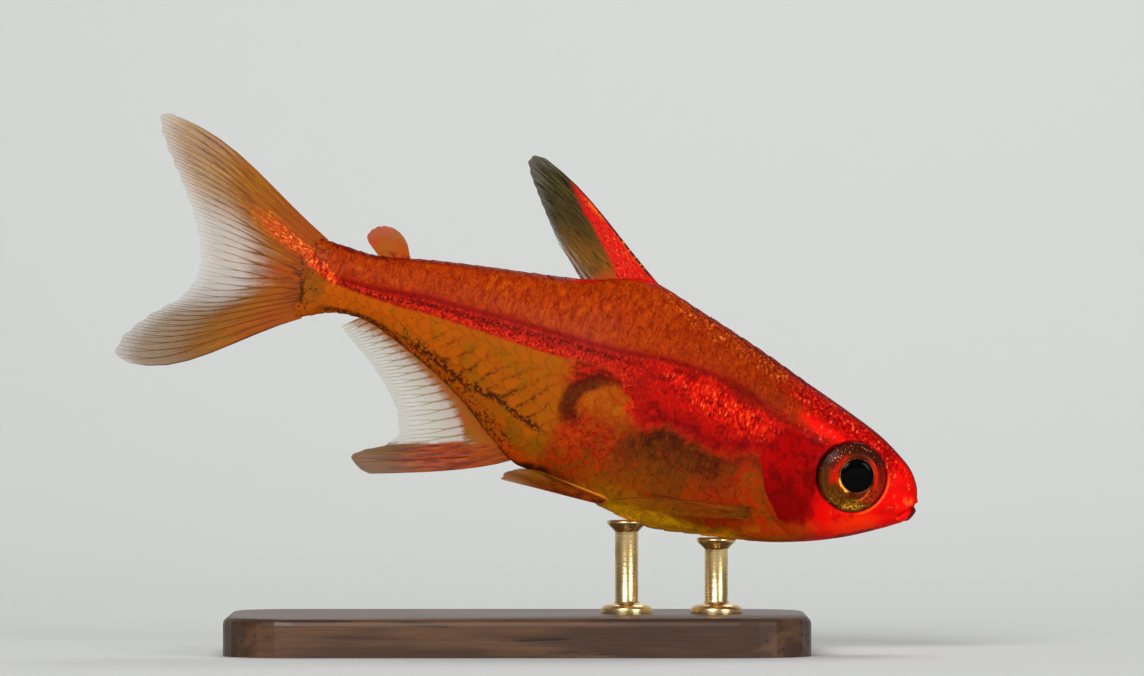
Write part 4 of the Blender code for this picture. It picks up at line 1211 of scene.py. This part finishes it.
def glassy_eye():
    material, tree, shader = new_material("glassy_eye")
    u, v, flat = flat_place(tree, "Eye")
    ring = noted(tree, "ring")
    x, y = (u - 0.5) * 2.4 - 0.06, (v - 0.5) * 2.4 - 0.07
    away = (x * x + y * y).root().at_least(0.05)

    def towards(degrees):
        """1 in this direction on the photograph, 0 across it."""
        turn = math.radians(degrees) + PITCH
        return (x * math.cos(turn) + y * math.sin(turn)) / away

    cloud = noise(flat, 5.0, 3)
    fine = noise(flat, 26.0, 3, 0.65)
    streak = noise(stretched(flat, (14, 14, 1)), 2.0, 4, 0.7)
    spot_gap, spot = cells(flat, 34.0)
    spots = (spot_gap + (fine - 0.5) * 0.5).ramp(0.4, 0.18) * spot.ramp(0.45, 0.7)
    loose = ring + (cloud - 0.5) * 0.22 + (fine - 0.5) * 0.1
    slash = abs(ring - 0.69 - (towards(-87) - towards(-47)) * 0.38 + (fine - 0.5) * 0.07).ramp(0.05, 0.015)
    gold = towards(264).ramp(0.94, 0.99) * (loose + (streak - 0.5) * 0.3).ramp(0.7, 0.82)
    arc = towards(214).ramp(0.84, 0.96) * ring.ramp(0.515, 0.53)
    lid = towards(93).ramp(0.0, 0.55) * loose.ramp(0.62, 0.78)
    pupil = ring.ramp(0.53, 0.515)
    metal = ring.ramp(0.52, 0.56) * ring.ramp(0.95, 0.85)
    tone = layered(
        (0.06, 0.006, 0.001),
        ((0.15, 0.02, 0.001), (cloud * 0.6 + streak * 0.6).ramp(0.45, 0.75)),
        ((0.09, 0.024, 0.001), towards(215).ramp(-0.1, 0.7) * loose.ramp(0.6, 0.75) * 0.85),
        ((0.2, 0.075, 0.004),
         towards(258).ramp(0.3, 0.9) * loose.ramp(0.62, 0.8) * streak.ramp(0.42, 0.6) * 0.8),
        ((0.6, 0.008, 0.002),
         towards(155).ramp(0.62, 0.9) * loose.ramp(0.56, 0.64) * loose.ramp(0.86, 0.72)),
        ((0.6, 0.012, 0.002), towards(5).ramp(0.6, 0.88) * loose.ramp(0.54, 0.6) * loose.ramp(0.76, 0.66)),
        ((0.24, 0.004, 0.001), towards(-10).ramp(0.45, 0.8) * loose.ramp(0.66, 0.76) * 0.9),
        ((0.5, 0.03, 0.002),
         towards(-48).ramp(0.8, 0.96) * loose.ramp(0.62, 0.74) * ring.ramp(1.0, 0.9)
         * streak.ramp(0.4, 0.6)),
        ((0.8, 0.1, 0.02), slash * towards(-67).ramp(0.9, 0.95) * streak.ramp(0.36, 0.52) * 0.85),
        ((0.36, 0.15, 0.006), gold * (fine * 0.6 + streak * 0.5).ramp(0.45, 0.65) * 0.85),
        ((0.95, 0.36, 0.03),
         towards(259).ramp(0.95, 0.985) * ring.ramp(0.86, 0.9) * ring.ramp(0.98, 0.95)
         * fine.ramp(0.5, 0.58)),
        ((0.5, 0.04, 0.003), arc * loose.ramp(0.7, 0.6) * 0.6),
        ((1.0, 0.5, 0.05), arc * (ring + (fine - 0.5) * 0.2 + (streak - 0.5) * 0.2).ramp(0.61, 0.56)),
        ((0.045, 0.006, 0.002), lid * 0.95),
        ((0.55, 0.16, 0.06), lid * spots * 0.8),
        ((0.75, 0.4, 0.04), towards(262).ramp(0.6, 0.95) * ring.ramp(0.78, 0.88) * spots),
        ((0.4, 0.11, 0.01),
         ring.ramp(0.512, 0.525) * ring.ramp(0.55, 0.53) * (fine + cloud * 0.9).ramp(0.75, 1.1)),
        # Painted shade: a dark ring round the eyeball's edge, in the crease where it meets the socket.
        ((0.03, 0.001, 0.001), (ring + (fine - 0.5) * 0.04).ramp(0.98, 1.02) * ring.ramp(1.1, 1.06) * 0.6),
        ((0.001, 0.0012, 0.001), pupil),
    )
    set_sockets(tree, shader, {
        "Base Color": tone, "Roughness": 0.26 + fine * 0.25 - pupil * 0.3,
        "Metallic": metal * (0.2 + fine * 0.3), "Specular IOR Level": 0.04,
        "Coat Weight": 0.035 - pupil * 0.02, "Coat Roughness": 0.04,
        "Normal": bumped(tree, streak * metal + fine * metal * 0.5, 0.01 * MM),
    })
    return material


eye_finish = glassy_eye()
for word, side in (("left", 1), ("right", -1)):
    eye = make_eye(word, side)
    give_material(eye, eye_finish)
    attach(eye, "root")
    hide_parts(f"eye_{word}")


# The fins: a thin clear membrane on jointed bony rays that fork towards their tips. The pigment lies
# thick at the roots and thins out, so that the rear edges and the middle of the tail are see-through.
DORSAL_TIPS = (
    (14.22, 6.0), (14.36, 6.01), (14.5, 5.99), (14.62, 5.93), (14.68, 5.84), (14.67, 5.72), (14.58, 5.54),
    (14.42, 5.3), (13.84, 4.62), (12.95, 3.62),
)
ANAL_TIPS = (
    (16.2, -5.0), (16.5, -4.97), (16.74, -4.88), (16.9, -4.74), (16.88, -4.58), (16.62, -4.36),
    (16.05, -4.04), (15.72, -3.56), (16.02, -2.86), (16.62, -2.24), (17.37, -1.68), (18.03, -1.28),
    (18.5, -0.98),
)
TAIL_TIPS = (
    (25.4, 3.55), (25.56, 3.57), (25.7, 3.56), (25.81, 3.51), (25.88, 3.41), (25.88, 3.28), (25.77, 3.06),
    (25.56, 2.76), (25.32, 2.46), (24.69, 1.77), (24.02, 0.95), (23.59, 0.28), (23.26, -0.49),
    (23.23, -1.07), (23.49, -1.75), (24.21, -2.51), (24.58, -3.04), (24.77, -3.38), (24.87, -3.7),
    (24.88, -3.88), (24.82, -4.04), (24.66, -4.13), (24.4, -4.16),
)
ADIPOSE_TIPS = (
    (17.38, 2.12), (17.53, 2.26), (17.7, 2.37), (17.88, 2.43), (18.06, 2.44), (18.24, 2.41), (18.42, 2.32),
    (18.55, 2.18), (18.63, 2.02), (18.62, 1.88), (18.52, 1.76),
)
DORSAL_BASE, ANAL_BASE, ADIPOSE_BASE = (9.62, 11.85), (12.1, 17.85), (17.1, 17.95)
DORSAL_RAYS, ANAL_RAYS, ADIPOSE_RAYS, TAIL_RAYS, PECTORAL_RAYS, PELVIC_RAYS = 11, 22, 9, 19, 12, 8
TAIL_ROOT = ((19.75, 1.4), (19.75, -1.08))
PECTORAL_ROOT = ((4.62, -2.12), (4.66, -2.5))
PECTORAL_TIPS = ((8.8, -3.28), (8.1, -3.34), (7.3, -3.22), (6.3, -2.98))
PELVIC_ROOT = ((8.95, 0.6, -3.34), (9.15, 0.38, -3.55))
PELVIC_TIPS = ((11.3, 1.0, -3.2), (11.9, 0.95, -3.36), (12.24, 0.88, -3.6), (12.3, 0.78, -3.84))
SHEATH_EDGE = (
    (12.0, -3.6), (13.7, -3.12), (13.92, -2.8), (14.27, -2.42), (14.71, -2.08), (15.33, -1.71),
    (16.12, -1.32), (16.87, -1.02), (17.61, -0.8), (18.5, -0.74),
)
FORKS = (0.42, 0.7)
FILM_HALF = (0.03, 0.004)
RAY_SIDES = 6


def share_line(points):
    """The point this share of the way along a line of points, by length."""
    points = np.array(points, float)
    lengths = np.concatenate([[0], np.cumsum(np.linalg.norm(np.diff(points, axis=0), axis=1))])
    return lambda share: np.stack(
        [np.interp(share * lengths[-1], lengths, axis) for axis in points.T], axis=-1
    )


def side_line(points):
    """The same for a line in side view, which lies in the fish's middle plane."""
    return share_line([(-s, 0, h) for s, h in points])


class Fin:
    """A sheet of rays, each from its root to its tip with a bow; u runs over the rays and v along them."""

    def __init__(self, roots, tips, bow, out=(0, 1, 0), ripple=0.03, off=None, fullest=1.6):
        self.roots, self.tips, self.bow, self.fullest = roots, tips, bow, fullest
        self.out = np.array(out, float) / np.linalg.norm(out)
        self.ripple, self.off = ripple, off
        self.points, self.faces, self.flat, self.bony = [], [], [], []
        self.made = 0

    def place(self, u, v):
        u, v = np.broadcast_arrays(np.asarray(u, float), np.asarray(v, float))
        root, tip = self.roots(u), self.tips(u)
        point = root + (tip - root) * v[..., None]
        point[..., 2] += self.bow(u) * np.sin(math.pi * np.clip(v, 0, 1) ** self.fullest)
        if self.off:
            point[..., 1] = self.off(-point[..., 0], point[..., 2])
        wave = self.ripple * np.sin(u * 9.0 + v * 3.0) * v
        return point + self.out * wave[..., None]

    def add(self, points, faces, u, v, bony):
        self.points.append(points.reshape(-1, 3))
        self.faces += (np.asarray(faces) + self.made).tolist()
        self.made += points.size // 3
        self.flat.append(np.stack([u.ravel(), v.ravel()], axis=-1))
        self.bony.append(np.full(u.size, float(bony)))

    def film(self, rays, reach, columns=6, rows=26):
        """The membrane: a closed sheet whose edge dips between the rays."""
        count = (rays - 1) * columns + 1
        u, share = np.meshgrid(np.linspace(0, 1, count), np.linspace(0, 1, rows), indexing="ij")
        dip = 1 - 0.012 * np.sin(math.pi * u * (rays - 1)) ** 2
        v = share * reach * dip
        middle = self.place(u, v)
        half = (FILM_HALF[0] + (FILM_HALF[1] - FILM_HALF[0]) * v) * (1 + 0 * u)
        top, bottom = middle + self.out * half[..., None], middle - self.out * half[..., None]
        grid = np.arange(u.size).reshape(u.shape)
        quads = np.stack([grid[:-1, :-1], grid[1:, :-1], grid[1:, 1:], grid[:-1, 1:]], -1).reshape(-1, 4)
        rim = np.concatenate([grid[:, 0], grid[-1, 1:], grid[-2::-1, -1], grid[0, -2:0:-1]])
        after = np.roll(rim, -1)
        walls = np.stack([after, rim, rim + u.size, after + u.size], -1)
        faces = np.concatenate([quads, quads[:, ::-1] + u.size, walls])
        self.add(np.stack([top, bottom]), faces, np.stack([u, u]), np.stack([v, v]), 0)

    def tube(self, u, v, radius):
        middle = self.place(u, v)
        ahead = np.gradient(middle, axis=0)
        ahead /= np.linalg.norm(ahead, axis=1, keepdims=True)
        side = np.cross(ahead, self.out)
        turn = np.linspace(0, 2 * math.pi, RAY_SIDES, endpoint=False)
        ring = side[:, None] * np.cos(turn)[:, None] + self.out * np.sin(turn)[:, None]
        points = middle[:, None] + ring * radius[:, None, None]
        grid = np.arange(len(u) * RAY_SIDES).reshape(len(u), RAY_SIDES)
        round_on = np.roll(grid, -1, axis=1)
        quads = np.stack([grid[:-1], round_on[:-1], round_on[1:], grid[1:]], -1).reshape(-1, 4)
        both_u, both_v = (np.repeat(value, RAY_SIDES) for value in (u, v))
        self.add(points, quads.tolist(), both_u, both_v, 1)
        first = self.made - grid.size
        self.faces += [(grid[0, ::-1] + first).tolist(), (grid[-1] + first).tolist()]

    def ray(self, u, gap, radius, reach=1.0, forks=FORKS):
        """One bony ray with its forks; its branches keep to its own share of the fin."""
        branches, spread = [(0.0, 0.0)], 0.25 * gap
        for level, (start, end) in enumerate(zip((0.0, *forks), (*forks, reach))):
            v = np.linspace(start, end, 9)
            drift = np.sin((v - start) / (end - start) * math.pi / 2)
            for before, after in branches:
                line = np.clip(u + before + (after - before) * drift, 0, 1)
                self.tube(line, v, radius * (1 - 0.86 * v) * 0.8**level)
            branches = [(after, after + way * spread) for _, after in branches for way in (-1, 1)]
            spread /= 2

    def finished(self, name):
        piece = raw_mesh(name, np.concatenate(self.points), self.faces)
        note_points(piece, "bony", np.concatenate(self.bony))
        map_points(piece, "Fin", np.concatenate(self.flat))
        face_outwards(piece)
        return piece


def make_fin(name, fin, rays, radius=0.05, reach=0.985, forks=FORKS):
    """The whole fin: its film and all its rays, in one piece."""
    fin.film(rays, 1.0)
    for k in range(rays):
        places = [fork + 0.06 * math.sin(k * 2.3 + fork) for fork in forks]
        fin.ray(k / (rays - 1), 1 / (rays - 1), radius, reach, places if 0 < k < rays - 1 else ())
    return fin.finished(name)


def median_roots(base, outline, sunk):
    line = smooth_line(outline)

    def at(share):
        s = base[0] + (base[1] - base[0]) * share
        return np.stack([-s, 0 * s, line(s) - sunk], axis=-1)

    return at


def crowded(line, power):
    """The line with its places drawn together towards its far end."""
    return lambda share: line(share**power)


def between(first, last):
    return lambda share: first + (last - first) * share


def tail_bow(share):
    return np.where(share < 0.5, 0.33 * (1 - share / 0.5), -0.5 * (share / 0.5 - 1))


def off_flank(side, out, spread):
    """The side-view fin laid over the flank: it leaves the skin at its root and stands off it by out."""
    front = PECTORAL_ROOT[0][0]

    def at(s, h):
        away = out * step(s, front, front + 1.2) + spread * (s - front)
        return side * (flank(s, np.minimum(h, -1.9)) + away)

    return at


def fin_finish(name, shade):
    """A fin's finish. Shade gives its colour and how dense its film is, from the fields that it names."""
    material, tree, shader = new_material(name)
    u, v, flat = flat_place(tree, "Fin")
    bony = noted(tree, "bony")
    place = in_millimetres(tree)
    cloud, fine = noise(place, 1.6, 3), noise(place, 9.0, 3, 0.6)
    streaks = noise(stretched(flat, (60, 5, 1)), 1.0, 3, 0.6)
    flecks = noise(stretched(flat, (75, 30, 1)), 1.0, 2, 0.7)
    _, s, h = fish_place(tree)
    tone, dense = shade(
        u=u, v=v, s=s, h=h, bony=bony, cloud=cloud, fine=fine, streaks=streaks, flecks=flecks
    )
    joints = (v * 210.0).sine().ramp(0.2, 0.9) * bony * v.ramp(0.12, 0.3)
    set_sockets(tree, shader, {
        "Base Color": paint(tone, (0.1, 0.02, 0.001), joints * 0.25),
        "Roughness": 0.34 + fine * 0.2, "Specular IOR Level": 0.1,
        "Alpha": dense.at_least(bony * (dense * 1.1 + 0.1)).at_most(1.0),
        "Normal": bumped(tree, joints * -0.5 + fine * 0.3, 0.008 * MM),
    })
    return material


def dorsal_look(u, v, cloud, fine, streaks, flecks, **others):
    upper = v + (cloud - 0.5) * 0.3 + (streaks - 0.5) * 1.3 - (u - 0.4).at_least(0.0) * 0.9
    black = layered(
        (0.004, 0.003, 0.001),
        ((0.055, 0.04, 0.006), (streaks + v * 0.1).ramp(0.5, 0.64)),
        ((0.2, 0.17, 0.04), flecks.ramp(0.62, 0.7) * v.ramp(0.5, 0.7) * 0.6),
    )
    front = (u + v * 0.72 + (fine - 0.5) * 0.16 + (streaks - 0.5) * 0.2).ramp(0.6, 0.52)
    frayed = (u + (streaks - 0.5) * 0.35 + (fine - 0.5) * 0.1).ramp(0.66, 1.02)
    tone = layered(
        (0.1, 0.045, 0.002),
        ((0.25, 0.085, 0.004), (streaks + (cloud - 0.5) * 0.4).ramp(0.4, 0.65)),
        ((0.4, 0.05, 0.002), v.ramp(0.22, 0.0) * u.ramp(1.0, 0.7) * 0.8),
        ((0.025, 0.014, 0.001), streaks.ramp(0.5, 0.4) * v.ramp(0.06, 0.25) * u.ramp(1.0, 0.6) * 0.8),
        (black, upper.ramp(0.12, 0.72) * 0.97),
        (paint((0.62, 0.004, 0.001), (0.36, 0.002, 0.001), fine.ramp(0.5, 0.36)), front),
        ((0.95, 0.1, 0.02), front * flecks.ramp(0.54, 0.64) * v.ramp(0.5, 0.3) * 0.9),
        ((0.85, 0.12, 0.006),
         u.ramp(0.12, 0.03) * v.ramp(0.42, 0.52) * v.ramp(0.66, 0.58) * fine.ramp(0.3, 0.55) * 0.8),
        ((0.03, 0.008, 0.002), u.ramp(0.03, 0.0) * v.ramp(0.02, 0.1) * 0.9),
        ((0.8, 0.32, 0.03),
         u.ramp(0.05, 0.02) * v.ramp(0.08, 0.16) * v.ramp(0.42, 0.3) * flecks.ramp(0.54, 0.62) * 0.8),
    )
    return tone, 0.98 - (v + (streaks - 0.5) * 0.5).ramp(0.72, 1.05) * 0.4 - frayed * 0.5


def anal_look(v, s, h, cloud, fine, streaks, **others):
    lobe = s.along(((12.0, -2.6), (13.7, -3.12), (15.02, -3.6), (16.2, -4.03), (17.2, -4.55))) - h
    lobe = (lobe + (streaks - 0.5) * 0.3).ramp(-0.1, 0.08)
    sheath = (h - s.along(SHEATH_EDGE) + (fine - 0.5) * 0.3 + (streaks - 0.5) * 0.5).ramp(-0.62, 0.45)
    film = sheath * sheath * (0.98 - sheath * 0.03)
    dense = (lobe * (0.95 - v * 0.3)).at_least(film).at_least((0.36 - v * 0.36).at_least(0.1))
    tone = layered(
        (0.3, 0.2, 0.02),
        ((0.34, 0.14, 0.003), v.ramp(0.5, 0.15)),
        (paint((0.12, 0.012, 0.001), (0.36, 0.04, 0.002), streaks.ramp(0.4, 0.56)), lobe * 0.95),
        ((0.42, 0.16, 0.015), lobe * streaks.ramp(0.6, 0.66) * 0.7),
        ((0.13, 0.075, 0.01), lobe * (v + (streaks - 0.5) * 0.5).ramp(0.55, 0.9) * 0.75),
        ((0.2, 0.012, 0.001), lobe * streaks.ramp(0.5, 0.42) * v.ramp(0.1, 0.3) * v.ramp(0.75, 0.5) * 0.7),
        (paint((0.33, 0.055, 0.001), (0.26, 0.085, 0.002), (fine * 0.5 + cloud).ramp(0.6, 0.9)),
         sheath * (1.0 - lobe * 0.6)),
    )
    return tone, dense


def tail_look(u, v, s, h, bony, cloud, fine, streaks, flecks):
    lobes = abs(u - 0.5).ramp(0.08, 0.3)
    way = abs(h - 0.87 - (s - 20.32) * 0.36 + (cloud - 0.5) * 0.3).ramp(0.4, 0.1)
    way = way * (s + (fine - 0.5)).ramp(22.8, 20.8)
    edge = s - 20.14 - h * 0.267 + (fine - 0.5) * 0.3 + (streaks - 0.5) * 0.3
    strokes = edge.ramp(-0.05, 0.05) * edge.ramp(0.8, 0.1) * streaks.ramp(0.52, 0.42)
    strokes = strokes.at_least(abs(edge).ramp(0.09, 0.02) * fine.ramp(0.4, 0.52))
    dark = u.ramp(0.5, 0.7) * (v + (streaks - 0.5) * 0.5).ramp(0.2, 0.8)
    full = (0.3 + lobes * 0.6 + (v + (streaks - 0.5) * 0.4).ramp(0.68, 0.22) * 0.7).at_most(1.0)
    dense = (0.95 - v.ramp(0.3, 1.0) * 0.45) * full
    tone = layered(
        (0.3, 0.08, 0.002),
        ((0.34, 0.15, 0.005), (v + (cloud - 0.5) * 0.5).ramp(0.3, 0.9)),
        ((0.17, 0.045, 0.002), streaks.ramp(0.48, 0.36) * 0.8),
        ((0.5, 0.2, 0.01), streaks.ramp(0.57, 0.66) * 0.7),
        ((0.3, 0.05, 0.002), (v + (fine - 0.5) * 0.2 + (cloud - 0.5) * 0.3).ramp(0.42, 0.12) * 0.8),
        ((0.4, 0.03, 0.002),
         oval(s, h, (21.0, 0.0), (0.7, 0.4)).ramp(1.4, 0.3) * streaks.ramp(0.4, 0.6) * 0.6),
        ((0.55, 0.02, 0.002), way * (0.25 + fine * 0.6)),
        ((0.95, 0.12, 0.008), way * flecks.ramp(0.5, 0.57) * 0.85),
        ((1.0, 0.45, 0.07), way * flecks.ramp(0.6, 0.66)),
        ((0.07, 0.012, 0.002), strokes * h.ramp(1.0, 0.6) * h.ramp(-0.9, -0.6) * 0.8),
        ((0.12, 0.055, 0.006), dark * (0.4 + streaks * 0.5)),
        ((0.12, 0.025, 0.002), bony * v.ramp(0.02, 0.2) * (0.2 + u.ramp(0.5, 0.75) * 0.4)),
    )
    return tone, dense * (1.0 - (v + (fine - 0.5) * 0.1).ramp(0.85, 1.0) * 0.6)


def adipose_look(v, cloud, fine, **others):
    tone = layered(
        (0.33, 0.08, 0.001),
        ((0.42, 0.05, 0.001), (cloud + fine * 0.3).ramp(0.5, 0.8)),
        ((0.2, 0.008, 0.001), fine.ramp(0.5, 0.6) * v.ramp(0.4, 0.1)),
    )
    return tone, 0.97 - v.ramp(0.4, 1.0) * 0.25


def pelvic_look(u, v, cloud, streaks, **others):
    tone = layered(
        (0.3, 0.05, 0.002),
        ((0.12, 0.012, 0.001), (streaks + (cloud - 0.5) * 0.5).ramp(0.55, 0.4)),
        ((0.36, 0.12, 0.004), (v + (streaks - 0.5) * 0.8).ramp(0.5, 0.9) * 0.8),
        # Painted highlight: bright orange along the fin's upper edge, by the belly.
        ((0.75, 0.22, 0.012), u.ramp(0.14, 0.02) * v.ramp(0.8, 0.4) * 0.8),
    )
    return tone, 0.85 - (v + (streaks - 0.5) * 0.3).ramp(0.2, 1.0) * 0.4


def pectoral_look(u, v, streaks, **others):
    tone = layered(
        (0.4, 0.12, 0.003),
        ((0.26, 0.05, 0.002), streaks.ramp(0.5, 0.38)),
        ((0.12, 0.012, 0.001), u.ramp(0.12, 0.0) * 0.8),
    )
    clear = 0.1 + u.ramp(0.08, 0.0) * 0.4 - v.ramp(0.0, 0.8) * 0.06
    return tone, clear * (0.15 + v.ramp(0.0, 0.2) * 0.85)


dorsal = Fin(median_roots(DORSAL_BASE, BACK, 0.06), side_line(DORSAL_TIPS), between(0.2, 0.03))
anal_tips = crowded(side_line(ANAL_TIPS), 0.65)
anal = Fin(median_roots(ANAL_BASE, BELLY, -0.15), anal_tips, between(-0.16, 0.0), fullest=0.7)
adipose = Fin(median_roots(ADIPOSE_BASE, BACK, 0.12), side_line(ADIPOSE_TIPS), between(0.0, 0.0))
tail = Fin(side_line(TAIL_ROOT), side_line(TAIL_TIPS), tail_bow)
dorsal = make_fin("dorsal", dorsal, DORSAL_RAYS)
anal = make_fin("anal", anal, ANAL_RAYS, 0.04)
adipose = make_fin("adipose", adipose, ADIPOSE_RAYS, 0.02, forks=())
tail = make_fin("tail", tail, TAIL_RAYS)
fins = [
    (dorsal, "dorsal_fin", fin_finish("dorsal_web", dorsal_look)),
    (anal, "anal_fin", fin_finish("anal_web", anal_look)),
    (adipose, "adipose_fin", fin_finish("adipose_web", adipose_look)),
    (tail, "caudal_fin", fin_finish("tail_web", tail_look)),
]
chest_web, belly_web = fin_finish("chest_web", pectoral_look), fin_finish("belly_web", pelvic_look)
for word, side in (("left", 1), ("right", -1)):
    beside = off_flank(side, 0.3, 0.03)
    chest = Fin(side_line(PECTORAL_ROOT), side_line(PECTORAL_TIPS), between(0.14, -0.02), off=beside)
    root, tips = (
        share_line([(-s, side * y, h) for s, y, h in line]) for line in (PELVIC_ROOT, PELVIC_TIPS)
    )
    lower = Fin(root, tips, between(0.0, 0.0), (0, side, -0.5))
    chest = make_fin(f"pectoral_{word}", chest, PECTORAL_RAYS, 0.03)
    lower = make_fin(f"pelvic_{word}", lower, PELVIC_RAYS, 0.045)
    fins += [(chest, f"pectoral_fin_{word}", chest_web), (lower, f"pelvic_fin_{word}", belly_web)]
for fin, node, finish in fins:
    give_material(fin, finish)
    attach(fin, "root")
    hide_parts(node)
